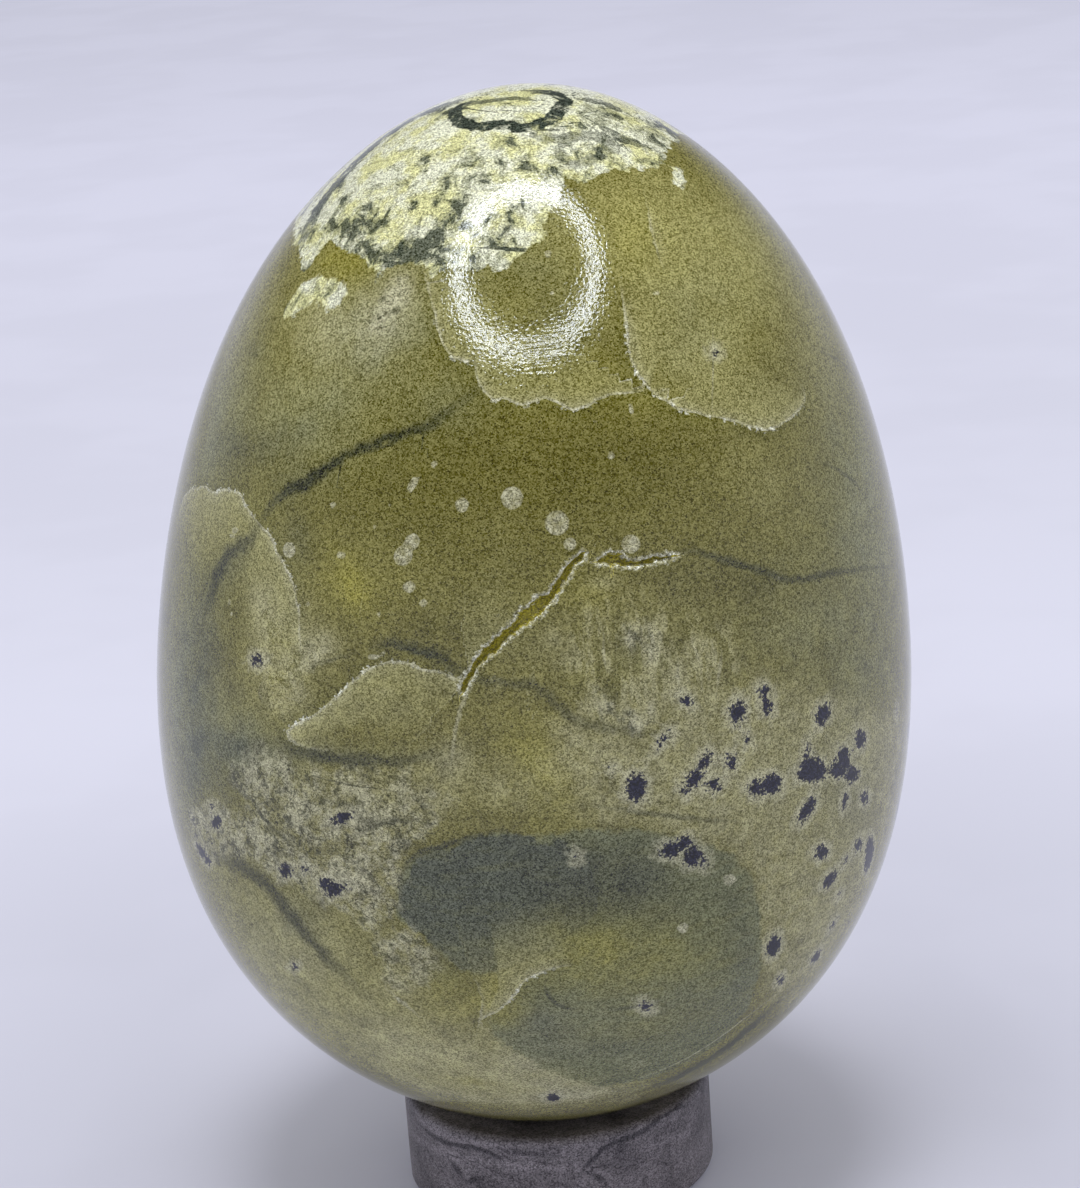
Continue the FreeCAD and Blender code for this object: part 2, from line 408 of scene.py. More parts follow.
# Veins: half width in millimetres and strength, then the points
DARK_VEINS = (
    (0.70, 1.0, ((480, 388), (452, 408), (421, 431), (387, 439), (353, 454), (330, 466), (307, 482),
                 (284, 493), (269, 508), (260, 522))),
    (0.90, 0.85, ((262, 520), (250, 540), (227, 556), (217, 575), (212, 592), (206, 612))),
    (0.22, 0.70, ((344, 461), (368, 452), (392, 444), (414, 434))),
    (0.42, 0.75, ((664, 555), (691, 551), (724, 560), (761, 570), (788, 581), (828, 574),
                  (868, 568), (898, 566))),
    (1.10, 0.95, ((376, 644), (394, 647), (410, 652), (428, 657), (446, 663), (462, 672))),
    (0.55, 0.50, ((386, 646), (420, 655), (448, 664), (482, 680), (510, 684), (533, 684),
                  (552, 700), (570, 717), (591, 724), (620, 730), (652, 734), (668, 736))),
    (0.65, 0.75, ((280, 742), (296, 751), (318, 757), (354, 761), (408, 761), (436, 752))),
    (1.10, 0.80, ((196, 848), (216, 858), (240, 866), (263, 880), (284, 905), (300, 928),
                  (320, 950), (342, 973), (367, 997))),
    (0.35, 0.80, ((400, 878), (408, 860), (424, 850), (444, 846), (468, 838), (500, 830))),
    (0.30, 0.60, ((236, 790), (252, 800), (262, 816), (282, 838), (300, 850))),
    (0.40, 0.60, ((322, 800), (350, 806), (362, 822), (390, 818))),
    (0.25, 0.55, ((310, 666), (332, 660), (356, 652))),
    (0.30, 0.75, ((352, 836), (366, 830), (376, 826), (392, 820), (408, 822), (418, 818))),
    (0.26, 0.80, ((545, 985), (549, 996), (556, 1004), (566, 1008), (577, 1009))),
    (1.05, 1.0, ((784, 998), (768, 1012), (750, 1028), (728, 1047), (702, 1064), (680, 1076),
                 (656, 1086), (634, 1093))),
    (0.28, 0.75, ((612, 1009), (630, 1008), (646, 1004), (660, 1002))),
    (0.28, 0.55, ((822, 462), (838, 470), (856, 482), (866, 500))),
    (0.20, 0.40, ((816, 350), (832, 356), (846, 366), (858, 380))),
    (0.30, 0.60, ((596, 806), (640, 812), (690, 818), (740, 822))),
)
DARK_VEINS_BACK = (
    (0.50, 0.80, ((88, 0.13), (104, 0.08), (122, 0.14), (140, 0.06), (158, 0.10), (176, 0.02),
                  (190, 0.05))),
    (0.55, 0.75, ((-88, -0.18), (-100, -0.12), (-116, -0.20), (-130, -0.10), (-142, -0.14))),
    (0.35, 0.70, ((-96, 0.45), (-112, 0.38), (-128, 0.42), (-146, 0.30), (-166, 0.34))),
    (0.40, 0.70, ((150, -0.30), (170, -0.42), (196, -0.48), (222, -0.42), (246, -0.52))),
    (0.30, 0.60, ((170, 0.62), (180, 0.52), (184, 0.40), (192, 0.30))),
)

PALE_LINES = (
    (0.10, 0.8, ((424, 284), (438, 281), (454, 277))),
    (0.14, 0.9, ((606, 150), (613, 154), (621, 161))),
    (0.12, 0.5, ((384, 272), (396, 262), (408, 252))),
    (0.22, 0.5, ((474, 682), (462, 706), (455, 728), (452, 760))),
    (0.30, 0.6, ((391, 993), (402, 1002), (416, 1014))),
    (0.14, 0.6, ((782, 990), (762, 1005), (740, 1022), (712, 1043), (684, 1060), (652, 1074),
                 (624, 1083))),
    (0.10, 0.6, ((713, 330), (713, 372), (712, 410))),
    (0.12, 0.5, ((362, 600), (360, 612))),
    (0.10, 0.4, ((376, 326), (384, 318), (398, 300), (405, 290))),
    (0.16, 0.5, ((630, 624), (630, 640), (631, 652))),
    (0.16, 0.5, ((651, 640), (652, 652), (650, 664))),
    (0.16, 0.5, ((678, 660), (678, 676), (679, 688))),
    (0.18, 0.5, ((722, 652), (720, 668), (717, 690))),
    (0.14, 0.4, ((604, 632), (603, 650), (606, 668))),
    (0.14, 0.4, ((692, 640), (696, 652), (700, 664))),
)
PALE_LINES_BACK = (
    (0.16, 0.6, ((196, -0.10), (206, -0.22), (216, -0.27), (228, -0.36))),
    (0.14, 0.6, ((128, -0.06), (136, 0.00), (146, 0.03))),
)

# Grey green disc at the lower front, and the blue grey in it and elsewhere
DISC = (
    (413, 861), (424, 852), (438, 847), (452, 850), (468, 839), (486, 836), (508, 832), (533, 838),
    (560, 834), (590, 828), (620, 830), (655, 832), (690, 838), (722, 850), (747, 869), (757, 896),
    (762, 930), (761, 966), (748, 1008), (722, 1040), (690, 1062), (650, 1078), (600, 1086),
    (556, 1074), (520, 1056), (496, 1040), (484, 1022), (498, 1010), (516, 995), (524, 982),
    (528, 960), (503, 970), (473, 974), (456, 968), (440, 952), (430, 942), (413, 929), (400, 920),
    (394, 907), (400, 896), (398, 880),
)
GREY_PATCH = (
    (411, 864), (424, 854), (438, 848), (452, 852), (468, 841), (486, 838), (508, 833), (530, 838),
    (541, 846), (560, 842), (580, 850), (590, 866), (600, 890), (596, 915), (580, 930), (564, 940),
    (548, 950), (526, 960), (503, 970), (473, 974), (456, 966), (440, 950), (413, 929), (396, 908),
    (401, 890),
)
GREY_BACK = (
    ((112, 0.60), (122, 0.66), (134, 0.62), (146, 0.66), (152, 0.56), (138, 0.50), (122, 0.52)),
    ((160, -0.60), (168, -0.52), (182, -0.48), (196, -0.54), (200, -0.66), (184, -0.72),
     (166, -0.68)),
)
DISC_BACK = (
    ((150, -0.62), (158, -0.50), (172, -0.42), (188, -0.38), (204, -0.44), (216, -0.38),
     (228, -0.50), (230, -0.66), (214, -0.76), (190, -0.80), (166, -0.74)),
)

# Beige area with the dark spots, at the lower right and round it
BEIGE = (
    (470, 770), (520, 762), (556, 744), (548, 726), (572, 726), (610, 736), (640, 742), (668, 730),
    (664, 712), (690, 694), (716, 684), (740, 692), (762, 680), (790, 690), (816, 694), (846, 700),
    (880, 712), (905, 720),
)
BEIGE_BACK = (
    (84, -0.06), (96, -0.02), (108, -0.10), (118, -0.22), (112, -0.38), (100, -0.52), (86, -0.66),
    (70, -0.74),
)
BEIGE_END = (
    (770, 1000), (764, 962), (760, 920), (748, 872), (722, 850), (690, 836), (640, 824), (596, 818),
    (560, 810), (520, 806), (480, 800),
)

# Pale mottled areas
MOTTLED = (
    ((228, 772), (244, 758), (262, 754), (282, 756), (300, 762), (330, 768), (360, 766), (390, 770),
     (416, 778), (440, 790), (452, 806), (440, 824), (416, 836), (404, 852), (412, 864), (398, 882),
     (399, 900), (390, 920), (372, 926), (352, 914), (330, 900), (306, 892), (284, 880), (262, 866),
     (236, 856), (214, 852), (196, 846), (188, 828), (192, 806), (206, 800), (222, 806), (238, 812),
     (248, 800), (236, 788)),
    ((262, 590), (272, 582), (284, 586), (294, 602), (298, 622), (300, 640), (312, 640), (322, 652),
     (318, 664), (300, 672), (304, 690), (300, 706), (286, 712), (274, 704), (266, 690), (262, 668),
     (268, 650), (262, 630)),
    ((384, 300), (392, 284), (405, 281), (404, 296), (398, 318), (388, 330), (374, 337), (362, 342),
     (370, 322)),
    ((594, 702), (606, 696), (622, 706), (640, 712), (650, 704), (654, 716), (640, 726), (618, 724),
     (600, 716)),
    ((620, 640), (626, 626), (646, 624), (662, 630), (660, 648), (650, 660), (640, 646),
     (630, 652)),
    ((390, 930), (404, 926), (424, 940), (440, 954), (436, 970), (420, 986), (404, 992), (388, 980),
     (378, 960), (380, 942)),
)
MOTTLED_BACK = (
    ((196, -0.02), (206, 0.04), (220, 0.02), (232, 0.08), (244, 0.02), (250, -0.10), (240, -0.22),
     (224, -0.28), (208, -0.24), (198, -0.14)),
    ((120, 0.30), (130, 0.36), (142, 0.34), (150, 0.24), (144, 0.14), (130, 0.12), (120, 0.20)),
)

# Area of faint upright streaks below the crack
STREAKED = (
    (580, 610), (610, 600), (650, 604), (690, 618), (724, 640), (738, 668), (720, 692), (690, 696),
    (664, 706), (640, 720), (604, 724), (580, 716), (566, 690), (570, 650),
)
STREAKED_BACK = (
    (140, -0.02), (150, 0.06), (164, 0.04), (172, -0.10), (166, -0.24), (150, -0.26), (140, -0.14),
)

# Soft washes over the olive: place, half sizes, tilt and strength.
# The light and pale washes low on the front, next to the ring, are partly the stone's lighter tone
# and partly painted light that makes up for the shade there.
LIGHTER_AND_PAINTED_LIGHT_WASHES = (
    (640, 230, 90, 70, 0, 0.75), (650, 660, 70, 50, 0, 0.45), (280, 650, 30, 60, 0, 0.6),
    (700, 370, 60, 40, 0, 0.4), (330, 440, 60, 40, 0, 0.3), (380, 560, 60, 40, 0, 0.2),
    (560, 1040, 60, 20, 0, 0.4), (740, 250, 60, 80, -35, 0.70), (330, 330, 70, 60, -30, 0.80),
    (390, 312, 22, 34, 30, 0.55), (700, 340, 60, 70, 0, 0.50), (660, 276, 20, 26, 0, 0.5),
    (300, 410, 50, 50, 0, 0.35), (820, 340, 40, 70, -20, 0.30), (330, 990, 90, 80, 45, 0.75),
    # The rows near the ring, low on the front, are partly painted light.
    (480, 1085, 100, 34, 8, 0.85), (240, 900, 40, 90, -35, 0.65), (600, 1092, 70, 18, -8, 0.35),
    (400, 1040, 70, 40, 20, 0.35), (560, 236, 20, 24, 0, 0.3), (800, 900, 40, 80, 25, 0.45),
    (840, 960, 30, 60, 35, 0.4), (430, 700, 60, 20, 0, 0.1), (790, 640, 60, 90, 0, 0.12),
    (270, 980, 30, 60, -35, 0.5), (280, 540, 14, 24, 0, 0.25), (210, 505, 30, 14, 0, 0.5),
)
DEEP_WASHES = (
    (560, 480, 150, 50, 5, 0.30), (420, 500, 90, 70, 0, 0.35), (640, 440, 90, 22, -5, 0.3),
    (240, 448, 16, 14, 0, 0.9), (470, 640, 60, 26, 0, 0.55), (700, 580, 90, 30, 5, 0.75),
    (430, 630, 60, 26, 0, 0.4), (600, 885, 70, 40, 0, 0.75), (640, 470, 60, 20, 0, 0.2),
    (560, 800, 70, 12, 0, 0.35), (470, 782, 34, 16, 0, 0.3), (745, 590, 50, 26, 0, 0.45),
    (790, 360, 30, 40, 0, 0.2), (400, 715, 70, 30, 0, 0.3), (640, 640, 50, 40, 0, 0.2),
    (540, 300, 60, 60, 0, 0.1), (300, 560, 20, 60, -10, 0.2), (600, 690, 40, 14, 20, 0.3),
)
YELLOW_WASHES = (
    (575, 960, 50, 34, 0, 0.65), (650, 955, 80, 46, 10, 0.45), (215, 540, 30, 44, 0, 0.4),
    (500, 1000, 26, 26, -40, 1.0), (460, 1084, 110, 26, 12, 0.80), (352, 585, 15, 26, -20, 0.9),
    (250, 520, 20, 26, 0, 0.5), (440, 1000, 50, 40, 0, 0.45), (590, 590, 40, 20, 0, 0.5),
    (530, 760, 26, 40, 0, 0.55), (560, 800, 30, 24, 0, 0.6), (344, 262, 24, 20, 0, 0.8),
    (350, 580, 70, 40, 0, 0.4), (500, 340, 40, 50, 0, 0.25), (580, 385, 60, 24, 0, 0.55),
    (280, 670, 30, 60, 0, 0.8), (410, 780, 90, 40, 0, 0.3), (640, 1030, 90, 16, -8, 0.3),
    (700, 408, 60, 12, 10, 0.35), (330, 1000, 60, 60, 0, 0.25), (640, 240, 60, 50, 0, 0.4),
)
VEIL_WASHES = (
    (180, 700, 26, 150, 0, 0.8), (210, 440, 30, 90, 15, 0.5), (870, 640, 40, 260, 0, 0.45),
    (450, 400, 50, 30, -30, 0.4), (380, 330, 50, 40, -20, 0.75), (470, 250, 60, 60, 0, 0.35),
    (540, 275, 30, 30, 0, 0.25), (560, 330, 26, 34, 30, 0.3), (690, 310, 40, 50, 0, 0.25),
    (860, 480, 30, 100, -10, 0.4), (330, 400, 50, 40, 0, 0.3), (230, 740, 60, 40, 20, 0.8),
    (300, 420, 60, 40, 0, 0.3), (620, 1060, 80, 24, -10, 0.6), (800, 620, 60, 60, 0, 0.3),
)
GREY_WASHES = (
    (850, 790, 24, 40, -20, 0.30), (300, 478, 42, 20, -30, 0.30), (275, 442, 46, 16, -25, 0.35),
    (232, 560, 18, 42, 30, 0.35), (205, 640, 16, 70, 0, 0.50), (240, 748, 50, 15, 5, 0.75),
    (190, 700, 14, 60, 0, 0.50), (196, 770, 20, 30, 0, 0.60), (350, 756, 70, 8, 0, 0.55),
    (228, 560, 22, 14, -40, 0.45), (225, 440, 16, 14, 0, 0.60), (620, 888, 60, 34, 0, 0.90),
    (700, 1010, 40, 20, -20, 0.50), (744, 960, 14, 50, 0, 0.45), (440, 968, 24, 14, 20, 0.55),
    (600, 1042, 90, 18, 0, 0.55), (300, 545, 12, 30, -10, 0.35), (160, 600, 10, 60, 0, 0.4),
    (540, 1020, 20, 14, 0, 0.6), (300, 920, 20, 16, 50, 0.5), (250, 350, 14, 10, 0, 0.25),
    (560, 862, 60, 14, 0, 0.4),
)
PALE_AND_PAINTED_LIGHT_WASHES = (
    (382, 318, 26, 34, 15, 0.60), (400, 292, 16, 20, 0, 0.45), (330, 330, 40, 40, 0, 0.25),
    (240, 330, 20, 50, 20, 0.20), (280, 650, 24, 46, 0, 1.00), (284, 652, 16, 28, 0, 0.80),
    (660, 660, 28, 24, 0, 0.30), (780, 806, 40, 30, 0, 0.20), (480, 1092, 90, 16, 8, 0.50),
    (288, 700, 18, 12, 0, 0.50), (270, 598, 16, 22, 0, 0.85), (320, 648, 16, 16, 0, 0.60),
    (630, 638, 8, 14, 0, 0.45), (652, 629, 8, 10, 0, 0.45), (655, 652, 7, 16, 0, 0.50),
    (678, 680, 7, 14, 0, 0.50), (696, 642, 8, 10, 0, 0.35), (604, 705, 14, 8, 0, 0.55),
    (632, 722, 16, 7, 10, 0.50), (652, 708, 7, 12, 0, 0.50), (602, 583, 16, 8, 0, 0.40),
    (555, 640, 14, 12, 0, 0.20), (384, 692, 7, 5, 0, 0.50), (400, 708, 18, 8, 0, 0.10),
    (450, 765, 20, 28, 0, 0.40), (400, 800, 50, 26, 0, 0.30), (402, 985, 20, 14, 0, 0.35),
    # The rows near the ring, low on the front, are partly painted light.
    (640, 1062, 70, 12, -8, 0.45), (540, 1050, 30, 14, 0, 0.40), (480, 1086, 110, 26, 8, 1.00),
    (560, 1045, 60, 26, 0, 0.35), (300, 960, 36, 50, -30, 0.25), (400, 1045, 60, 40, 20, 0.25),
    (840, 910, 18, 60, 25, 0.30), (590, 1098, 60, 12, 0, 0.5), (255, 540, 10, 14, -30, 0.25),
    (560, 1012, 14, 10, 0, 0.3), (430, 760, 40, 12, 0, 0.2), (210, 500, 24, 8, 0, 0.35),
)
LIGHT_WASHES_BACK = (
    (150, 0.10, 14, 10, 0, 0.4), (200, -0.15, 12, 14, 0, 0.4), (120, 0.48, 8, 12, 0, 0.4),
    (180, 0.55, 12, 8, 0, 0.35), (235, 0.30, 10, 12, 0, 0.3), (190, -0.80, 14, 8, 0, 0.4),
    (128, -0.55, 9, 9, 0, 0.4), (210, 0.64, 12, 6, 0, 0.5), (150, 0.70, 12, 6, 0, 0.5),
)
DEEP_WASHES_BACK = (
    (170, 0.35, 12, 8, 0, 0.5), (225, 0.10, 9, 12, 0, 0.45), (110, -0.20, 6, 8, 0, 0.3),
    (150, -0.18, 10, 7, 0, 0.5), (255, 0.40, 8, 8, 0, 0.4),
)
GREY_WASHES_BACK = (
    (-96, 0.00, 8, 12, 0, 0.5), (170, -0.05, 10, 8, 0, 0.5), (220, 0.42, 9, 7, 0, 0.5),
)
PALE_WASHES_BACK = (
    (160, 0.26, 8, 7, 0, 0.4), (205, -0.10, 8, 6, 0, 0.5), (130, 0.22, 7, 6, 0, 0.4),
)
YELLOW_WASHES_BACK = (
    (140, 0.24, 10, 8, 0, 0.5), (215, 0.50, 9, 7, 0, 0.4), (190, -0.65, 12, 6, 0, 0.5),
    (245, -0.30, 8, 9, 0, 0.5), (100, 0.35, 6, 10, 0, 0.3),
)
VEIL_WASHES_BACK = (
    (-100, 0.05, 8, 20, 0, 0.6), (185, 0.15, 10, 12, 0, 0.4), (130, -0.35, 10, 8, 0, 0.4),
    (210, 0.65, 8, 6, 0, 0.5),
)

# Place in the polish where fine level scratches spread the lamp's light
SCRATCHED = ((546, 352, 22, 26, 0, 1.0),)

# Pale dots: place and half sizes in pixels, and tilt
PALE_DOTS = (
    (512, 498, 11, 11, 45), (462, 505, 7, 7, 0), (557, 523, 12, 12, 0), (570, 544, 6, 6, 0),
    (631, 544, 9, 9, 0), (412, 542, 7, 9, 20), (403, 556, 9, 10, 20), (409, 587, 6, 6, 0),
    (413, 484, 4, 10, 30), (434, 465, 4, 4, 0), (333, 506, 4, 4, 0), (352, 518, 3, 5, 20),
    (356, 495, 3, 3, 0), (289, 550, 6, 8, 0), (341, 555, 4, 4, 0), (377, 614, 3, 4, 0),
    (423, 603, 4, 4, 0), (376, 527, 2.5, 2.5, 0), (390, 506, 2.2, 2.2, 0), (611, 455, 4, 4, 0),
    (612, 454, 3, 3, 0), (235, 530, 3, 3, 0), (232, 536, 2.5, 2.5, 0), (230, 603, 2, 5, 0),
    (231, 614, 1.6, 2, 0), (631, 409, 2.6, 5, -15), (780, 578, 2, 2, 0), (548, 254, 4, 3.4, 0),
    (552, 292, 2.5, 2.5, 0), (373, 657, 5, 3, 0), (382, 653, 3, 2.5, 0), (656, 292, 4, 3, 0),
    (646, 291, 2, 2, 0), (308, 604, 2, 2, 0), (309, 617, 2, 2, 0), (300, 585, 1.8, 1.8, 0),
    (399, 1000, 3, 3, 0), (683, 928, 6, 5, 0), (495, 318, 2.5, 2.5, 0), (595, 423, 2, 2, 0),
    (412, 665, 3, 4, 0), (730, 880, 7, 6, 0),
)
PALE_DOTS_BACK = (
    (118, 0.02, 0.50), (126, -0.05, 0.35), (141, 0.02, 0.60), (163, 0.22, 0.45), (171, 0.16, 0.70),
    (179, 0.24, 0.40), (205, 0.38, 0.55), (213, 0.33, 0.35), (236, 0.22, 0.50), (-98, 0.30, 0.40),
    (-104, 0.22, 0.55), (-124, 0.55, 0.45), (96, 0.44, 0.45), (188, -0.20, 0.40),
    (152, -0.02, 0.35),
)

# Dark spots: place and half sizes in pixels, and tilt
DARK_SPOTS = (
    (257, 660, 5, 5, 0), (686, 700, 6, 4, 30), (738, 712, 7, 11, 10), (764, 692, 5, 6, 0),
    (767, 706, 5, 8, -15), (823, 715, 6, 10, 20), (747, 737, 3, 6, -20), (662, 741, 3, 8, 35),
    (668, 733, 3, 3, 0), (636, 787, 9, 12, 5), (706, 760, 5, 9, 25), (695, 778, 6, 9, 35),
    (686, 788, 5, 5, 0), (731, 761, 5, 7, 0), (714, 785, 7, 6, -20), (756, 788, 7, 8, 0),
    (772, 784, 9, 9, 20), (813, 770, 12, 11, 10), (803, 775, 6, 5, 0), (808, 749, 3, 6, 0),
    (844, 758, 6, 10, 0), (838, 770, 8, 7, 20), (852, 774, 7, 7, -20), (861, 739, 5, 8, 0),
    (805, 813, 5, 10, 30), (812, 803, 4, 7, 15), (845, 801, 3, 8, 10), (865, 798, 4, 6, 0),
    (671, 850, 10, 7, 0), (684, 844, 8, 6, -20), (693, 857, 9, 8, -20), (703, 862, 5, 5, 0),
    (822, 852, 6, 7, 25), (859, 845, 4, 6, 15), (870, 852, 5, 14, 5), (866, 868, 3, 6, 0),
    (830, 880, 4, 9, 40), (846, 860, 2, 4, 30), (839, 895, 2, 4, 30), (774, 946, 6, 10, 20),
    (816, 957, 4, 7, 30), (833, 925, 2, 5, 30), (781, 980, 3, 5, 20), (867, 906, 2, 4, 20),
    (612, 769, 2, 2, 0), (216, 822, 5, 6, 10), (201, 851, 4, 8, -35), (207, 860, 4, 5, -30),
    (285, 870, 5, 7, -30), (304, 869, 4, 4, 0), (326, 884, 7, 7, 0), (335, 891, 9, 5, -35),
    (350, 886, 2.4, 2.4, 0), (715, 352, 2.4, 2.4, 0), (294, 967, 3, 3, 0), (212, 806, 3, 3, 0),
    (553, 1098, 6, 4, 0), (646, 1007, 6, 4, 20), (342, 818, 10, 5, -20), (576, 857, 2, 2, 0),
)


def spot_rows(count, seed, azimuths, heights, sizes=(0.18, 0.75)):
    """Dark spots scattered over ranges of degrees and height shares at the back."""
    chance = np.random.default_rng(seed)
    spans = (azimuths, heights, sizes)
    return [tuple(chance.uniform(*span) for span in spans) for _ in range(count)]


DARK_SPOTS_BACK = (spot_rows(26, 5, azimuths=(66, 112), heights=(-0.50, -0.08))
                   + spot_rows(9, 8, azimuths=(204, 240), heights=(-0.20, 0.02)))

# Veins of the ring: half width and strength, then pixels, or degrees and share of the height
RING_DARK = (
    (0.28, 0.9, ((426, 1130), (436, 1138), (448, 1143), (460, 1146), (472, 1147), (484, 1150),
                 (491, 1154), (499, 1158))),
    (0.30, 0.9, ((586, 1166), (592, 1160), (602, 1150), (614, 1142), (630, 1137), (646, 1130),
                 (660, 1118), (672, 1110), (684, 1105))),
    (0.40, 0.9, ((453, 1164), (456, 1168), (459, 1173))),
    (0.40, 0.9, ((470, 1181), (474, 1179), (479, 1178))),
    (0.35, 0.9, ((594, 1176), (598, 1178), (602, 1181))),
    (0.30, 0.5, ((504, 1150), (530, 1154), (556, 1156))),
    (0.25, 0.6, ((662, 1163), (666, 1165), (670, 1164))),
)
RING_LIGHT = (
    (0.40, 0.7, ((414, 1136), (424, 1142), (436, 1149), (456, 1157), (482, 1161), (510, 1166),
                 (534, 1168), (560, 1168))),
    (0.30, 0.6, ((420, 1120), (430, 1129), (450, 1138), (474, 1143), (500, 1145), (530, 1145),
                 (562, 1143))),
    (0.60, 0.5, ((578, 1142), (584, 1134), (592, 1128), (600, 1124))),
    (0.40, 0.4, ((640, 1150), (662, 1142), (690, 1132))),
)
RING_DARK_BACK = (
    (0.28, 0.9, ((100, 0.70), (122, 0.52), (146, 0.62), (168, 0.40), (186, 0.46))),
    (0.30, 0.8, ((200, 0.20), (222, 0.38), (240, 0.34), (262, 0.66))),
    (0.24, 0.7, ((130, 0.20), (150, 0.28), (160, 0.16))),
)
RING_LIGHT_BACK = (
    (0.35, 0.7, ((96, 0.44), (124, 0.34), (150, 0.42), (180, 0.26), (204, 0.34))),
    (0.30, 0.6, ((190, 0.74), (214, 0.62), (240, 0.70), (266, 0.52))),
)


# Measuring the markings over the egg's points, in millimetres. Distances stop at REACH.

REACH = 6.0
FAR = 1e9

# A direction this near the egg's axis has no level direction beside it, and points this
# near each other are one
NEAR_AXIS = 0.05
SAME_PLACE = 1e-7

# Shares of a line's length over which it fades at each end, and of its strength left there
LONG_FADE = (0.25, 0.25)
CRUST_FADE = (0.02, 0.8)
RING_FADE = (0.1, 0.8)
LEAST_WIDTH_SHARE = 0.6

# A pixel covers at most this many times its width on the egg, where that turns away
MOST_STRETCH = 2.2

BACK_SPOT_TALLER = 1.2
BACK_SPOT_TILT = 15
DARK_SPOT_WIDER = 1.2


def chart(shape, points, centre):
    """Flat coordinates about a direction, in millimetres, close to lengths on the surface."""
    size = np.array([shape.waist, shape.waist, shape.half])
    aim = unit(shape.local(points) / size)
    side = np.cross((0.0, 0.0, 1.0), centre)
    if np.linalg.norm(side) < NEAR_AXIS:
        side = np.array([1.0, 0, 0])
    side = unit(side)
    rise = np.cross(centre, side)
    turn = np.arccos(np.clip(aim @ centre, -1, 1))
    across, up = aim @ side, aim @ rise
    scale = size.mean() / MM * turn / np.maximum(np.hypot(across, up), TINY)
    return np.stack([across * scale, up * scale], -1)


def inside_distance(shape, points, outline):
    """Distance inside an outline on the egg, negative outside it."""
    size = np.array([shape.waist, shape.waist, shape.half])
    centre = unit(unit(shape.local(outline) / size).mean(0))
    flat = chart(shape, points, centre)
    corners = chart(shape, outline, centre)
    nearest = np.full(len(points), FAR)
    inside = np.zeros(len(points), bool)
    for start, end in zip(corners, np.roll(corners, -1, axis=0)):
        run = end - start
        along = np.clip((flat - start) @ run / max(run @ run, TINY), 0, 1)
        nearest = np.minimum(nearest, np.linalg.norm(flat - start - along[:, None] * run, axis=1))
        if start[1] != end[1]:
            crossed = (start[1] > flat[:, 1]) != (end[1] > flat[:, 1])
            edge = start[0] + (flat[:, 1] - start[1]) * run[0] / run[1]
            inside ^= crossed & (flat[:, 0] < edge)
    return np.clip(np.where(inside, nearest, -nearest), -REACH, REACH)


def joined_areas(shape, points, outlines):
    """Distance inside any of several outlines."""
    return np.max([inside_distance(shape, points, outline) for outline in outlines], axis=0)


def beside_lines(points, outward, lines):
    """Signed distance across the nearest line in its half widths, distance, and strength there.

    Each line is its points, their half widths in millimetres and their strengths.
    """
    across = np.full(len(points), REACH)
    away = np.full(len(points), REACH)
    strength = np.zeros(len(points))
    for path, widths, strengths in lines:
        for index in range(len(path) - 1):
            start, run = path[index], path[index + 1] - path[index]
            along = np.clip((points - start) @ run / max(run @ run, TINY**2), 0, 1)
            offset = (points - start - along[:, None] * run) / MM
            distance = np.linalg.norm(offset, axis=1)
            side = np.sign((offset * np.cross(outward, unit(run))).sum(1))
            width = widths[index] + along * (widths[index + 1] - widths[index])
            here = strengths[index] + along * (strengths[index + 1] - strengths[index])
            nearer = distance < away
            away = np.where(nearer, distance, away)
            across = np.where(nearer, side * distance / width, across)
            strength = np.where(nearer, here, strength)
    return np.stack([across, away, strength], -1)


def even_lines(locate, rows, fade=LONG_FADE):
    """Lines of a table, thinner and fainter at both ends. Locate finds points on the stone."""
    fade_share, least_share = fade
    lines = []
    for width, strength, points in rows:
        share = np.linspace(0, 1, len(points))
        ends = np.clip(np.minimum(share, 1 - share) / fade_share, least_share, 1)
        widths = width * (LEAST_WIDTH_SHARE + (1 - LEAST_WIDTH_SHARE) * ends)
        lines.append((locate(points), widths, strength * ends))
    return lines


def flake_lines(shape):
    """Flake edges with a half width of a millimetre, so that distances stay in millimetres."""
    lines = []
    for locate, tables in ((shape.seen, FLAKE_EDGES), (shape.place, FLAKE_EDGES_BACK)):
        for rows in tables:
            rows = np.array(rows, float)
            lines.append((locate(rows[:, :2]), np.ones(len(rows)), rows[:, 2]))
    return lines


def crack_paths(shape, crack_width, seed=12, parts=4, wander=1.3, unevenness=0.25):
    """The open crack's two runs: points, half widths in millimetres and even strengths.

    Each stretch of the tables is cut in parts that wander by pixels and vary in width.
    """
    chance = np.random.default_rng(seed)
    runs = []
    for rows in (MAIN_CRACK, SIDE_CRACK):
        rows = np.array(rows)
        stretches = len(rows) - 1
        finer = np.linspace(0, stretches, parts * stretches + 1)
        across, down, width = (np.interp(finer, np.arange(len(rows)), column) for column in rows.T)
        pixels = np.stack([across, down], 1) + chance.uniform(-wander, wander, (len(finer), 2))
        width = width * chance.uniform(1 - unevenness, 1 + unevenness, len(finer))
        runs.append((shape.seen(pixels), width * crack_width / 2 / MM, np.ones(len(finer))))
    return runs


def ellipse_axes(shape, row):
    """Surface point under a pixel and the two half axes of an ellipse drawn there."""
    pixel, half_sizes, turn = np.array(row[:2], float), row[2:4], math.radians(row[4])
    across = np.array([math.cos(turn), math.sin(turn)])
    down = np.array([-math.sin(turn), math.cos(turn)])
    for way in (1, -1):
        middle, one, other = shape.seen([pixel, pixel + way * across, pixel + way * down])
        steps = (one - middle, other - middle)
        if min(np.linalg.norm(step) for step in steps) >= SAME_PLACE:
            break
    limit = MOST_STRETCH / PIXELS_PER_METRE
    axes = []
    for step, half_size in zip(steps, half_sizes):
        axes.append(step * min(1, limit / max(np.linalg.norm(step), TINY)) * half_size)
    return middle, axes


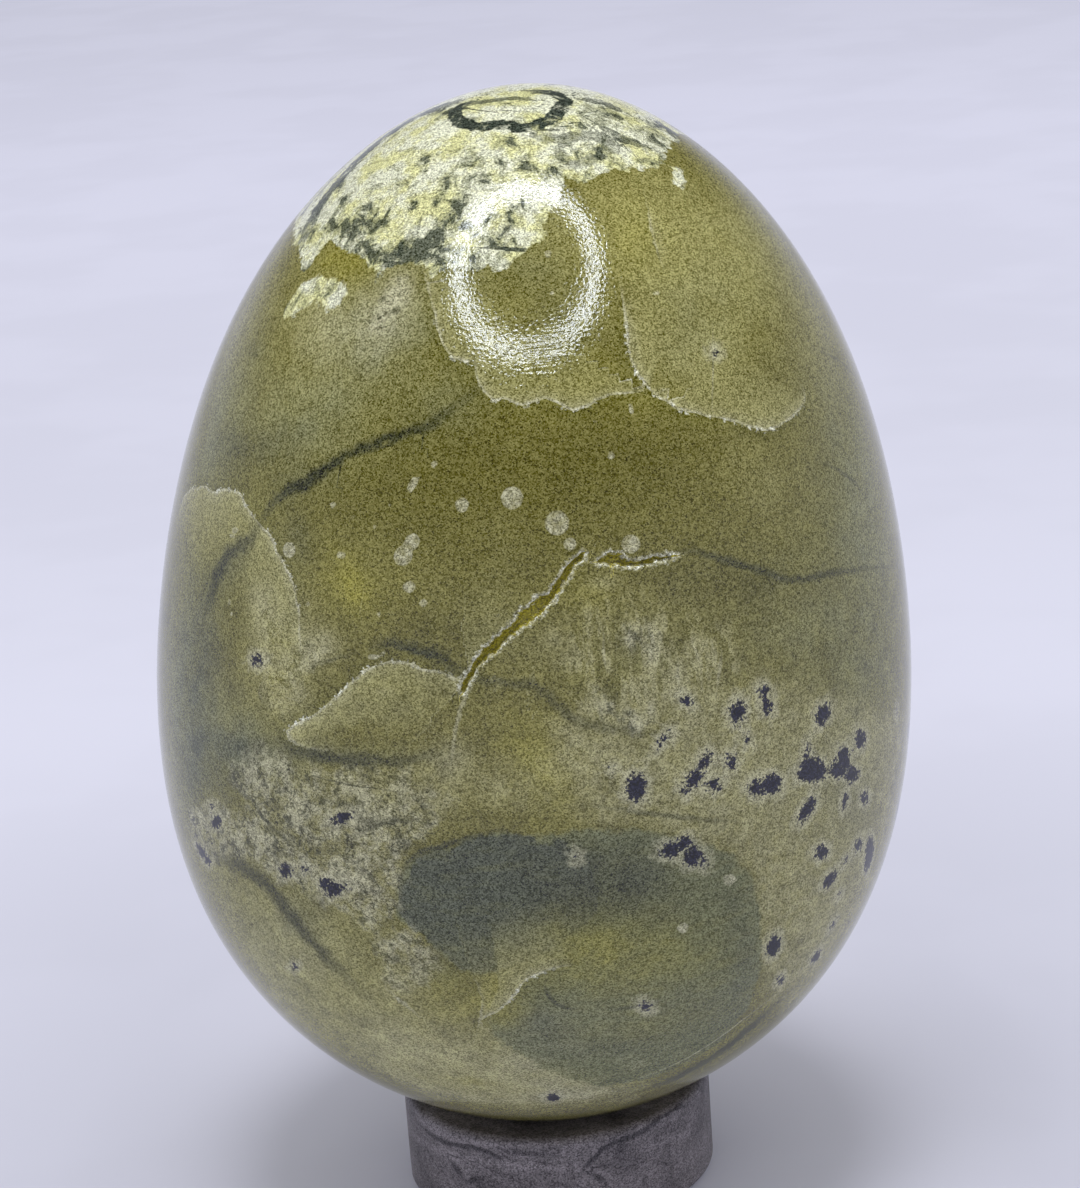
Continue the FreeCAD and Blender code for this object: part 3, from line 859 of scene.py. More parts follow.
def round_axes(shape, row):
    """Surface point at an azimuth and height, and the two half axes of an ellipse there."""
    azimuth, height, half_width, half_height, tilt = row[:5]
    middle = shape.place([(azimuth, height)])[0]
    outward = shape.normals(middle[None])[0]
    level = unit(np.cross(shape.axis, outward))
    rise = np.cross(outward, level)
    turn = math.radians(tilt)
    first = level * math.cos(turn) + rise * math.sin(turn)
    second = rise * math.cos(turn) - level * math.sin(turn)
    return middle, [first * half_width * MM, second * half_height * MM]


def ellipses(shape, pixels, places):
    """Middles and half axes of ellipses in the picture and of ones at the back."""
    middles_and_axes = [ellipse_axes(shape, row) for row in pixels]
    return middles_and_axes + [round_axes(shape, row) for row in places]


def in_ellipse(points, outward, middle, axes, thickness=2 * MM):
    """Coordinates about an ellipse, one long at its edge, and which points face its way."""
    near = outward[np.argmin(np.linalg.norm(points - middle, axis=1))]
    own_axes = np.stack([axes[0], axes[1], near * thickness], 1)
    return (points - middle) @ np.linalg.inv(own_axes).T, outward @ near > 0


def nearest_spot(shape, points, outward, pixels, places, wider=1):
    """Millimetres to the edge of the nearest of several spots, below zero inside it."""
    best = np.full(len(points), np.inf)
    places = [(azimuth, height, size, size * BACK_SPOT_TALLER, BACK_SPOT_TILT)
              for azimuth, height, size in places]
    for middle, axes in ellipses(shape, pixels, places):
        axes = [axis * wider for axis in axes]
        turned, _ = in_ellipse(points, outward, middle, axes)
        size = (np.linalg.norm(axes[0]) + np.linalg.norm(axes[1])) / 2 / MM
        best = np.minimum(best, (np.linalg.norm(turned, axis=1) - 1) * size)
    return best


def washes(shape, points, outward, pixels, places):
    """Sum of soft blobs, held between 0 and 1."""
    total = np.zeros(len(points))
    strengths = [row[5] for row in (*pixels, *places)]
    for (middle, axes), strength in zip(ellipses(shape, pixels, places), strengths):
        turned, facing = in_ellipse(points, outward, middle, axes)
        total += strength * np.exp(-(turned**2).sum(1)) * facing
    return np.clip(total, 0, 1)


def outlines(shape, pixels, places=()):
    """Outlines on the egg, from ones in the picture and ones at the back."""
    found = [shape.seen(outline) for outline in pixels]
    return found + [shape.place(outline) for outline in places]


def measured_markings(shape, points, crack_width):
    """Every marking's measure at each point, by the name that the material reads."""
    outward = shape.normals(points)
    cap = [shape.seen(CREAM_CAP), shape.place(CREAM_CAP_BACK)]
    beige = [shape.seen(BEIGE), shape.place(BEIGE_BACK), shape.seen(BEIGE_END)]
    areas = {
        "cream": [np.concatenate(cap)] + outlines(shape, (CREAM_TAIL, CREAM_ISLAND, CREAM_CHIP)),
        "grey": outlines(shape, (GREY_PATCH,), GREY_BACK),
        "disc": outlines(shape, (DISC,), DISC_BACK),
        "beige": [np.concatenate(beige)],
        "streaked": outlines(shape, (STREAKED,), (STREAKED_BACK,)),
        "mottled": outlines(shape, MOTTLED, MOTTLED_BACK),
    }
    spots = {
        "dot": (PALE_DOTS, PALE_DOTS_BACK),
        "spot": (DARK_SPOTS, DARK_SPOTS_BACK, DARK_SPOT_WIDER),
    }
    lines = {
        "crust_line": (even_lines(shape.seen, CRUST_LINES, CRUST_FADE)
                       + even_lines(shape.place, CRUST_LINES_BACK)),
        "vein": even_lines(shape.seen, DARK_VEINS) + even_lines(shape.place, DARK_VEINS_BACK),
        "pale_line": even_lines(shape.seen, PALE_LINES) + even_lines(shape.place, PALE_LINES_BACK),
        "flake": flake_lines(shape),
        "crack": crack_paths(shape, crack_width),
    }
    blobs = {
        "crust_cloud": (CRUST_CLOUDS, CRUST_CLOUDS_BACK),
        "lighter_and_painted_light_wash": (LIGHTER_AND_PAINTED_LIGHT_WASHES, LIGHT_WASHES_BACK),
        "deep_wash": (DEEP_WASHES, DEEP_WASHES_BACK),
        "yellow_wash": (YELLOW_WASHES, YELLOW_WASHES_BACK),
        "veil_wash": (VEIL_WASHES, VEIL_WASHES_BACK),
        "grey_wash": (GREY_WASHES, GREY_WASHES_BACK),
        "pale_and_painted_light_wash": (PALE_AND_PAINTED_LIGHT_WASHES, PALE_WASHES_BACK),
        "scratched": (SCRATCHED, ()),
    }
    measures = {name: joined_areas(shape, points, joined) for name, joined in areas.items()}
    for name, tables in spots.items():
        measures[name] = nearest_spot(shape, points, outward, *tables)
    for name, paths in lines.items():
        measures[name] = beside_lines(points, outward, paths)
    for name, tables in blobs.items():
        measures[name] = washes(shape, points, outward, *tables)
    return measures


# Meshes

# Degrees round the egg from the front, and from its blunt end to its narrow end, with
# the step up to each stop. The steps are finest across the crack.
ROUND_STOPS = ((-180, 0), (-100, 1.9), (-14, 1.1), (22, 0.36), (100, 1.1), (180, 1.9))
HEIGHT_STOPS = ((0, 0), (92.5, 0.76), (110, 0.26), (180, 0.76))

# Steps round the ring, and along the stretches of its section
RING_COLUMNS = 220
BORE_STEPS = 10
TOP_STEPS = 6
WALL_STEPS = 26
ROUND_STEPS = 8

# The share of the crack's half width over which its walls fall, and the pits of the ring
CRACK_WALL_SHARE = 0.45
PIT_RADII = (0.25, 0.8)
PIT_DEPTH_SHARES = (0.12, 0.3)


def add_object(name, data):
    item = bpy.data.objects.new(name, data)
    bpy.context.scene.collection.objects.link(item)
    return item


def add_mesh(name, points, faces):
    mesh = bpy.data.meshes.new(name)
    mesh.from_pydata([tuple(point) for point in points], [], faces)
    shell = bmesh.new()
    shell.from_mesh(mesh)
    bmesh.ops.recalc_face_normals(shell, faces=shell.faces)
    shell.to_mesh(mesh)
    shell.free()
    mesh.shade_smooth()
    return add_object(name, mesh)


def write_attribute(mesh, name, values):
    """Stores one number or three at each point of a mesh."""
    kind, field = ("FLOAT", "value") if values.ndim == 1 else ("FLOAT_VECTOR", "vector")
    attribute = mesh.attributes.new(name, kind, "POINT")
    attribute.data.foreach_set(field, values.astype(np.float32).ravel())


def stepped(stops):
    """Values from the first stop to the last, at about each stretch's step."""
    values = [float(stops[0][0])]
    for (start, _), (end, step) in zip(stops, stops[1:]):
        count = max(1, round((end - start) / step))
        values += list(np.linspace(start, end, count + 1)[1:])
    return np.array(values)


def quads(rows, columns, first=0, closed=False):
    """Faces of a grid of points that goes round, and whose last row meets the first if closed."""
    faces = []
    for row in range(rows if closed else rows - 1):
        low = first + row * columns
        high = first + (row + 1) % rows * columns
        for column in range(columns):
            beyond = (column + 1) % columns
            faces.append((low + column, low + beyond, high + beyond, high + column))
    return faces


def egg_grid(shape):
    """Points and faces of the egg, with one point at each end."""
    azimuths = stepped(ROUND_STOPS)[:-1]
    shares = -np.cos(np.radians(stepped(HEIGHT_STOPS)[1:-1]))
    places = [(azimuth, height) for height in shares for azimuth in azimuths]
    points = np.concatenate([shape.place([(0, -1)]), shape.place(places), shape.place([(0, 1)])])
    count = len(azimuths)
    last = len(points) - 1
    faces = quads(len(shares), count, first=1)
    for column in range(count):
        beyond = (column + 1) % count
        faces.append((0, 1 + beyond, 1 + column))
        faces.append((last, last - count + column, last - count + beyond))
    return points, faces


def sunk_crack(shape, points, crack, depth, clearance=0.01 * MM):
    """Points a hair inside the solid egg, and sunk along the open crack's steep walls."""
    within = np.clip((1 - np.abs(crack[:, 0])) / CRACK_WALL_SHARE, 0, 1)
    open_here = crack[:, 1] < 1
    ease = within * within * (3 - 2 * within) * open_here
    return points - shape.normals(points) * (ease * depth + clearance)[:, None]


class RingShape:
    """The outer wall of the solid ring, seen by the egg's camera."""

    def __init__(self, egg):
        low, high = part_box("ring_stand")
        self.foot = np.array([(low.x + high.x) / 2, (low.y + high.y) / 2, low.z])
        self.radius = (high.x - low.x) / 2
        self.height = high.z - low.z
        self.egg = egg

    def seen(self, pixels):
        """Points of the wall that show at pixels."""
        rays = self.egg.rays(np.array(pixels, float))
        start = (self.egg.eye - self.foot)[:2]
        run = rays[:, :2]
        square, mixed = (run**2).sum(1), run @ start
        root = np.sqrt(np.clip(mixed**2 - square * (start @ start - self.radius**2), 0, None))
        return self.egg.eye + rays * ((-mixed - root) / square)[:, None]

    def place(self, places):
        """Points of the wall at (degrees right of the front, share of the height) places."""
        places = np.array(places, float)
        angles, shares = np.radians(places[:, 0]), places[:, 1]
        turned = [self.radius * np.sin(angles), -self.radius * np.cos(angles), self.height * shares]
        return self.foot + np.stack(turned, 1)


def ring_profile(ring, sizes):
    """Section of the ring from its inner foot, round its seat and rim, to its outer foot."""
    chamfer, seat, rim = sizes.foot_chamfer, sizes.seat_round, sizes.rim_round
    inner, outer, height = ring.radius - sizes.wall, ring.radius, ring.height
    turns = np.linspace(0, math.pi / 2, ROUND_STEPS + 1)
    bore = np.linspace((inner, chamfer), (inner, height - seat), BORE_STEPS + 1)
    seat_round = [(inner + seat * (1 - math.cos(turn)), height - seat * (1 - math.sin(turn)))
                  for turn in turns]
    top = np.linspace((inner + seat, height), (outer - rim, height), TOP_STEPS + 1)
    rim_round = [(outer - rim * (1 - math.sin(turn)), height - rim * (1 - math.cos(turn)))
                 for turn in turns]
    wall = np.linspace((outer, height - rim), (outer, chamfer), WALL_STEPS + 1)
    foot = [[(inner + chamfer, 0)], [(outer - chamfer, 0)]]
    return np.concatenate([foot[0], bore[:-1], seat_round, top[1:-1], rim_round, wall[1:], foot[1]])


def pitted(points, inward, sizes, seed=3):
    """Points of the ring with small round pits, all pressed in."""
    chance = np.random.default_rng(seed)
    sink = np.zeros(len(points))
    for _ in range(sizes.pits):
        middle = points[chance.integers(len(points))]
        radius = chance.uniform(*PIT_RADII) * MM
        depth = radius * chance.uniform(*PIT_DEPTH_SHARES)
        away = np.linalg.norm(points - middle, axis=1) / radius
        sink = np.maximum(sink, depth * np.clip(1 - away**2, 0, 1))
    return points + inward * sink[:, None]


def ring_grid(ring, sizes):
    """Points and faces of the ring, within the solid ring's box, and outward directions."""
    profile = ring_profile(ring, sizes)
    around = np.linspace(0, 2 * math.pi, RING_COLUMNS, endpoint=False)
    rays = np.stack([np.cos(around), np.sin(around), np.zeros(RING_COLUMNS)], 1)
    upright = np.array([0, 0, 1.0])
    points = ring.foot + profile[:, 0, None, None] * rays + profile[:, 1, None, None] * upright
    core = ring.foot + (ring.radius - sizes.wall / 2) * rays + ring.height / 2 * upright
    inward = unit((core - points).reshape(-1, 3))
    faces = quads(len(profile), RING_COLUMNS, closed=True)
    return pitted(points.reshape(-1, 3), inward, sizes), faces, -inward


def ring_veins(ring, points, outward):
    """Measures of the ring's dark and light veins at its points, the front ones as pictured."""
    tables = {"dark_vein": (RING_DARK, RING_DARK_BACK), "light_vein": (RING_LIGHT, RING_LIGHT_BACK)}
    measures = {}
    for name, (seen, placed) in tables.items():
        lines = even_lines(ring.seen, seen, RING_FADE) + even_lines(ring.place, placed, RING_FADE)
        measures[name] = beside_lines(points, outward, lines)
    return measures


# Materials. Sizes in them are millimetres.

# Noise keeps near its middle. Spread by this, what it is off by goes from about -1 to 1.
NOISE_MIDDLE = 0.5
NOISE_SPREAD = 4.0

# Sockets of the mix node that hold colours
MIX_INPUTS = (6, 7)
MIX_OUTPUT = 2


class Nodes:
    """Adds and joins the nodes of one material, world or group."""

    def __init__(self, tree, position=None):
        self.tree = tree
        self.position = position

    def add(self, kind, **settings):
        node = self.tree.nodes.new(kind)
        for name, value in settings.items():
            setattr(node, name, value)
        return node

    def put(self, socket, value):
        """Joins a socket to a value that varies, or sets it."""
        if isinstance(value, bpy.types.NodeSocket):
            self.tree.links.new(value, socket)
        elif hasattr(socket.default_value, "__len__") and hasattr(value, "__len__"):
            size = len(socket.default_value)
            socket.default_value = (tuple(value) + (1.0,))[:size]
        else:
            socket.default_value = value

    def fill(self, node, **values):
        """Fills sockets of a node by their names."""
        for name, value in values.items():
            self.put(node.inputs[name.capitalize()], value)
        return node.outputs

    def math(self, operation, first, second=0.0):
        node = self.add("ShaderNodeMath", operation=operation)
        self.put(node.inputs[0], first)
        self.put(node.inputs[1], second)
        return node.outputs[0]

    def plus(self, first, second):
        return self.math("ADD", first, second)

    def minus(self, first, second):
        return self.math("SUBTRACT", first, second)

    def times(self, product, *factors):
        for factor in factors:
            product = self.math("MULTIPLY", product, factor)
        return product

    def absolute(self, value):
        return self.math("ABSOLUTE", value)

    def vector(self, operation, first, second=(0.0, 0.0, 0.0)):
        node = self.add("ShaderNodeVectorMath", operation=operation)
        self.put(node.inputs[0], first)
        self.put(node.inputs[1], second)
        return node.outputs["Value" if operation == "LENGTH" else "Vector"]

    def scaled(self, value, scale):
        node = self.add("ShaderNodeVectorMath", operation="SCALE")
        self.put(node.inputs[0], value)
        return self.fill(node, scale=scale)["Vector"]

    def blend(self, factor, first, second, how="MIX"):
        """Colour between two colours."""
        node = self.add("ShaderNodeMix", data_type="RGBA", blend_type=how, clamp_factor=True)
        self.put(node.inputs["Factor"], factor)
        for index, colour in zip(MIX_INPUTS, (first, second)):
            self.put(node.inputs[index], colour)
        return node.outputs[MIX_OUTPUT]

    def tinted(self, colour, tint, *masks):
        """Colour with a tint over it, by the product of its masks."""
        return self.blend(self.times(*masks), colour, tint)

    def ease(self, value, low, high, start=0.0, end=1.0):
        """Smooth step of a value from low to high, from start to end."""
        node = self.add("ShaderNodeMapRange", interpolation_type="SMOOTHSTEP")
        for socket, setting in zip(node.inputs, (value, low, high, start, end)):
            self.put(socket, setting)
        return node.outputs[0]

    def noise(self, size, pace=None, **settings):
        """Noise with features about as large as size, longer along an axis of a slower pace."""
        position = self.vector("MULTIPLY", self.position, pace) if pace else self.position
        varies = isinstance(size, bpy.types.NodeSocket)
        scale = self.math("DIVIDE", 1.0, size) if varies else 1 / size
        usual = {"vector": position, "scale": scale, "detail": 3.0, "roughness": 0.55}
        return self.fill(self.add("ShaderNodeTexNoise"), **(usual | settings))["Fac"]

    def uneven(self, size, **settings):
        """Noise about zero."""
        return self.minus(self.noise(size, **settings), NOISE_MIDDLE)

    def wandered(self, value, size, reach, **settings):
        """A value that noise moves up and down by about reach."""
        wander = self.times(self.uneven(size, **settings), NOISE_SPREAD)
        return self.plus(value, self.times(wander, reach))

    def measure(self, name):
        """One number that the mesh stores at each point."""
        return self.add("ShaderNodeAttribute", attribute_name=name).outputs["Fac"]

    def measures(self, name):
        """The three numbers that the mesh stores at each point."""
        return self.add("ShaderNodeAttribute", attribute_name=name).outputs["Vector"]

    def split(self, value):
        node = self.add("ShaderNodeSeparateXYZ")
        self.put(node.inputs[0], value)
        return node.outputs

    def group(self, name, **values):
        """Results of a shader group, built the first time that a material asks for it."""
        tree = bpy.data.node_groups.get(name) or GROUPS[name](name)
        node = self.add("ShaderNodeGroup", node_tree=tree)
        return self.fill(node, position=self.position, **values)

    def area(self, name, **settings):
        """Mask of a measured area."""
        return self.group("Ragged edge", distance=self.measure(name), **settings)["Mask"]

    def line(self, name, **settings):
        """Mask of measured lines."""
        return self.group("Wandering line", measures=self.measures(name), **settings)["Mask"]

    def spots(self, name, **settings):
        """Mask of measured spots."""
        return self.group("Spot", away=self.measure(name), **settings)["Mask"]

    def bump(self, shader, height, strength, distance):
        node = self.add("ShaderNodeBump")
        self.fill(node, strength=strength, distance=distance, height=height)
        self.put(shader.inputs["Normal"], node.outputs[0])


SOCKET_KINDS = {
    "Colour": "NodeSocketColor",
    "Position": "NodeSocketVector",
    "Measures": "NodeSocketVector",
}


def new_group(name, results, **given):
    """A shader group's nodes, what it is given and its results. Numbers are the usual ones."""
    tree = bpy.data.node_groups.new(name, "ShaderNodeTree")
    sockets = [(label, "INPUT", usual) for label, usual in given.items()]
    sockets += [(label, "OUTPUT", None) for label in results]
    for label, side, usual in sockets:
        label = label.capitalize()
        kind = SOCKET_KINDS.get(label, "NodeSocketFloat")
        socket = tree.interface.new_socket(label, in_out=side, socket_type=kind)
        if usual is not None:
            socket.default_value = usual
    nodes = Nodes(tree)
    inputs = nodes.add("NodeGroupInput").outputs
    nodes.position = inputs["Position"]
    return nodes, inputs, nodes.add("NodeGroupOutput").inputs


def build_stone_grain(name):
    """Colour with fine crystals: lighter and darker specks of one size."""
    nodes, given, result = new_group(name, ("colour", "dull"), colour=None, position=None,
                                     size=0.12, strength=0.5)
    lift, least = (0.06, 0.06, 0.06), (0.004, 0.004, 0.004)
    cells = nodes.add("ShaderNodeTexVoronoi", feature="F1")
    nodes.fill(cells, vector=nodes.position, scale=nodes.math("DIVIDE", 1.0, given["Size"]))
    crystal, dull, _ = nodes.split(cells.outputs["Color"])
    nodes.put(result["Dull"], nodes.ease(dull, 0.45, 0.6))
    soft = nodes.uneven(nodes.times(given["Size"], 3.0), detail=2)
    level = nodes.plus(nodes.minus(crystal, 0.5), nodes.times(soft, 0.15))
    level = nodes.times(level, given["Strength"])
    colour = nodes.scaled(given["Colour"], nodes.plus(level, 1.0))
    colour = nodes.vector("ADD", colour, nodes.scaled(lift, level))
    nodes.put(result["Colour"], nodes.vector("MAXIMUM", colour, least))
    return nodes.tree


def build_ragged_edge(name):
    """Mask of an area from the distance inside it, with an edge that wanders."""
    nodes, given, result = new_group(name, ("mask",), distance=0.0, position=None,
                                     raggedness=0.3, size=1.0, softness=0.1)
    moved = nodes.wandered(given["Distance"], given["Size"], given["Raggedness"],
                           detail=5, roughness=0.65)
    low = nodes.times(given["Softness"], -1.0)
    nodes.put(result["Mask"], nodes.ease(moved, low, given["Softness"]))
    return nodes.tree


def build_wandering_line(name):
    """Mask of a line from its three measures: across in half widths, away and strength."""
    nodes, given, result = new_group(name, ("mask",), measures=None, position=None,
                                     wander=0.5, size=0.6, core=0.2)
    across, away, strength = nodes.split(given["Measures"])
    moved = nodes.wandered(across, given["Size"], given["Wander"], detail=4, roughness=0.6)
    body = nodes.ease(nodes.absolute(moved), given["Core"], 1.0, 1.0, 0.0)
    near = nodes.ease(away, 1.6, 2.2, 1.0, 0.0)
    nodes.put(result["Mask"], nodes.times(body, near, strength))
    return nodes.tree


def build_spot(name):
    """Mask of spots from the millimetres to the edge of the nearest one."""
    nodes, given, result = new_group(name, ("mask",), away=9.0, position=None,
                                     raggedness=0.2, size=0.3, low=-0.1, high=0.1)
    moved = nodes.wandered(given["Away"], given["Size"], given["Raggedness"],
                           detail=3, roughness=0.6)
    nodes.put(result["Mask"], nodes.ease(moved, given["Low"], given["High"], 1.0, 0.0))
    return nodes.tree


GROUPS = {
    "Stone grain": build_stone_grain,
    "Ragged edge": build_ragged_edge,
    "Wandering line": build_wandering_line,
    "Spot": build_spot,
}


def new_material(name):
    """A material with its own shader, and its nodes."""
    material = bpy.data.materials.new(name)
    material.use_nodes = True
    nodes = Nodes(material.node_tree)
    place = nodes.add("ShaderNodeTexCoord").outputs["Object"]
    nodes.position = nodes.scaled(place, 1 / MM)
    return material, nodes, material.node_tree.nodes["Principled BSDF"]


def washed(nodes, colour, name, tint, most, patches):
    """Colour with one of the soft washes over it."""
    uneven = nodes.ease(patches, 0.3, 0.7, 0.6, 1.3)
    return nodes.tinted(colour, tint, nodes.measure(name), uneven, most)


def mottled_over(nodes, colour, amount):
    """Colour made lighter and darker in patches of one or two millimetres."""
    level = nodes.times(nodes.uneven(1.5, detail=6, roughness=0.65), amount)
    return nodes.scaled(colour, nodes.plus(level, 1.0))


def olive_base(nodes, colours, patches):
    """Cloudy olive body of the stone."""
    clouds = nodes.noise(11.0, detail=5, roughness=0.6, distortion=0.4)
    colour = nodes.tinted(colours.olive, colours.light, nodes.ease(clouds, 0.50, 0.75, 0.0, 0.45))
    colour = nodes.tinted(colour, colours.deep, nodes.ease(clouds, 0.48, 0.25, 0.0, 0.45))
    # The light and pale washes also paint light low on the front, next to the ring, where the stone
    # lies in shade.
    colour = washed(nodes, colour, "lighter_and_painted_light_wash", colours.light, 1.0, patches)
    colour = washed(nodes, colour, "veil_wash", colours.veil, 0.85, patches)
    return washed(nodes, colour, "pale_and_painted_light_wash", colours.pale, 0.9, patches)


def grey_and_beige(nodes, colours, colour, patches):
    """Grey green and blue grey patches and the beige zone."""
    fine = nodes.noise(0.9, detail=6, roughness=0.7)
    streaks = nodes.noise(0.9, pace=(0.3, 0.3, 1.0), detail=6, roughness=0.65)
    beige = nodes.area("beige", raggedness=0.5, size=2.0, softness=1.0)
    colour = nodes.tinted(colour, colours.beige, beige, nodes.ease(fine, 0.35, 0.65, 0.35, 0.95))
    disc = nodes.area("disc", raggedness=0.35, size=1.2, softness=0.2)
    colour = nodes.tinted(colour, colours.disc, disc, nodes.ease(streaks, 0.3, 0.6, 0.6, 0.95))
    grey = nodes.area("grey", raggedness=0.35, size=0.9, softness=0.15)
    colour = nodes.tinted(colour, colours.grey, grey, nodes.ease(streaks, 0.35, 0.55, 0.6, 0.95))
    return washed(nodes, colour, "grey_wash", colours.grey, 0.9, patches), disc


def mottling(nodes, colours, colour):
    """Pale cloudy areas broken up by dark cracks and flecks, and the streaked area."""
    area = nodes.area("mottled", raggedness=0.8, size=1.6, softness=0.5)
    blotches = nodes.noise(1.4, detail=7, roughness=0.7)
    colour = nodes.tinted(colour, colours.pale, area, nodes.ease(blotches, 0.40, 0.58, 0.15, 0.78))
    ridges = nodes.absolute(nodes.uneven(1.3, detail=6, distortion=0.6))
    colour = nodes.tinted(colour, colours.vein, area, nodes.ease(ridges, 0.0, 0.03, 0.75, 0.0))
    flecks = nodes.noise(0.8, detail=6, roughness=0.7)
    colour = nodes.tinted(colour, colours.vein, area, nodes.ease(flecks, 0.53, 0.61, 0.0, 0.75))
    area = nodes.area("streaked", raggedness=0.8, size=1.8, softness=1.5)
    streaks = nodes.noise(0.85, pace=(1.0, 1.0, 0.33), detail=5, roughness=0.65)
    sandy = nodes.blend(0.4, colours.pale, colours.yellow)
    colour = nodes.tinted(colour, sandy, area, nodes.ease(streaks, 0.47, 0.60, 0.05, 0.75))
    return nodes.tinted(colour, colours.deep, area, nodes.ease(streaks, 0.49, 0.38, 0.0, 0.6))


def flakes(nodes, colours, colour):
    """Flake edges: a thin pale rim, partly pale stone and partly a painted highlight where the edge
    catches light, with a lighter band inside and a painted shadow outside.
    """
    across, away, strength = nodes.split(nodes.measures("flake"))
    moved = nodes.plus(across, nodes.times(nodes.uneven(0.7, detail=4), 0.4))
    inside = nodes.ease(moved, -0.03, 0.03)
    strength = nodes.times(strength, nodes.ease(away, 4.0, 6.0, 1.0, 0.0))
    # Painted shadow: a darker band just outside the edge, where the step would shade the stone.
    outside = nodes.times(nodes.ease(moved, -1.2, -0.03, 0.0, 0.5), nodes.minus(1.0, inside))
    colour = nodes.tinted(colour, colours.deep, outside, strength)
    band = nodes.times(inside, nodes.ease(moved, 0.0, 6.0, 1.0, 0.0))
    colour = nodes.tinted(colour, colours.light, band, strength)
    broken = nodes.ease(nodes.noise(1.2, detail=4), 0.36, 0.56, 0.4, 1.0)
    # The pale rim is partly the edge's pale stone and partly a painted highlight where the edge
    # catches light.
    rim = nodes.times(inside, nodes.ease(moved, 0.05, 0.25, 0.9, 0.0))
    rim = nodes.plus(rim, nodes.times(inside, nodes.ease(moved, 0.1, 1.0, 0.25, 0.0)))
    colour = nodes.tinted(colour, colours.pale, rim, strength, broken)
    chips = nodes.ease(nodes.noise(0.3, detail=2), 0.56, 0.64)
    at_edge = nodes.ease(nodes.absolute(moved), 0.08, 0.22, 0.95, 0.0)
    where_strong = nodes.math("POWER", strength, 3.0)
    return nodes.tinted(colour, colours.chip, chips, at_edge, where_strong, broken)


def veins(nodes, colours, colour):
    """Soft dark veins and thin pale lines."""
    dark = nodes.line("vein", wander=0.35, size=0.8, core=0.1)
    colour = nodes.tinted(colour, colours.vein, dark)
    pale = nodes.line("pale_line", wander=0.5, size=0.5, core=0.2)
    return nodes.tinted(colour, colours.pale, pale, 0.85)


def cream_crust(nodes, colours, colour):
    """Cream crust, yellower in places, with dark specks, clouds and lines."""
    area = nodes.area("cream", raggedness=0.6, size=1.3, softness=0.12)
    tone = nodes.noise(2.0, detail=6, roughness=0.62)
    crust = nodes.tinted(colours.cream, colours.cream_deep, nodes.ease(tone, 0.42, 0.60))
    specks = nodes.noise(1.3, detail=8, roughness=0.7, distortion=0.5)
    cloud = nodes.times(nodes.measure("crust_cloud"), 0.19)
    edge = nodes.ease(nodes.measure("cream"), 0.0, 3.0, 0.05, 0.0)
    level = nodes.plus(nodes.plus(specks, cloud), edge)
    crust = nodes.tinted(crust, colours.veil, nodes.ease(level, 0.55, 0.62, 0.0, 0.65))
    crust = nodes.tinted(crust, colours.dark, nodes.ease(level, 0.63, 0.68, 0.0, 0.8))
    lines = nodes.line("crust_line", wander=0.35, size=0.5, core=0.75)
    crust = nodes.tinted(crust, colours.dark, lines, nodes.ease(specks, 0.36, 0.48, 0.35, 1.0))
    return nodes.tinted(colour, crust, area), area


def dots_and_spots(nodes, colours, colour):
    """Pale round dots, and dark mineral spots with a pale halo."""
    dot = nodes.spots("dot", raggedness=0.03, size=0.4, low=-0.03, high=0.07)
    texture = nodes.ease(nodes.noise(0.4), 0.35, 0.65, 0.35, 0.95)
    colour = nodes.tinted(colour, colours.pale, dot, texture)
    halo = nodes.spots("spot", raggedness=0.35, size=0.5, low=0.0, high=0.8)
    colour = nodes.tinted(colour, colours.pale, halo, 0.6)
    spot = nodes.spots("spot", raggedness=0.40, size=0.22, low=-0.16, high=0.06)
    return nodes.tinted(colour, colours.spot, spot)


def open_crack(nodes, colours, colour):
    """Olive brown bottom of the crack, its colour lifted as painted light against the crack's
    shade, and its pale chipped lips.
    """
    across, away, _ = nodes.split(nodes.measures("crack"))
    across = nodes.absolute(across)
    near = nodes.ease(away, 0.9, 1.3, 1.0, 0.0)
    rough = nodes.uneven(0.35, detail=4, roughness=0.7)
    half_width = nodes.math("DIVIDE", away, nodes.math("MAXIMUM", across, 1.0))
    beyond = nodes.plus(nodes.minus(away, half_width), nodes.times(rough, 0.9))
    lips = nodes.times(nodes.ease(beyond, 0.0, 0.30, 0.8, 0.0), near)
    colour = nodes.tinted(colour, colours.pale, lips)
    chips = nodes.ease(nodes.noise(0.2, detail=2), 0.50, 0.58)
    colour = nodes.tinted(colour, colours.chip, lips, chips)
    moved = nodes.plus(across, nodes.times(rough, 4.0))
    bottom = nodes.times(nodes.ease(moved, 0.85, 1.05, 1.0, 0.0), near)
    # The crack's colour is lifted: painted light against the shade in the crack.
    floor = nodes.tinted(colours.crack, colours.spot, nodes.ease(rough, -0.14, -0.02, 0.5, 0.0))
    return nodes.tinted(colour, floor, bottom), bottom


def polish_height(nodes):
    """Fine grain left by polishing, with level scratches where the polish is worn."""
    grain = nodes.noise(0.21, detail=1, roughness=0.5)
    scratches = nodes.noise(0.17, pace=(0.06, 0.06, 1.0), detail=1, roughness=0.5)
    depth = nodes.plus(nodes.times(nodes.measure("scratched"), 1.4), 0.1)
    return nodes.plus(nodes.times(scratches, depth), grain)


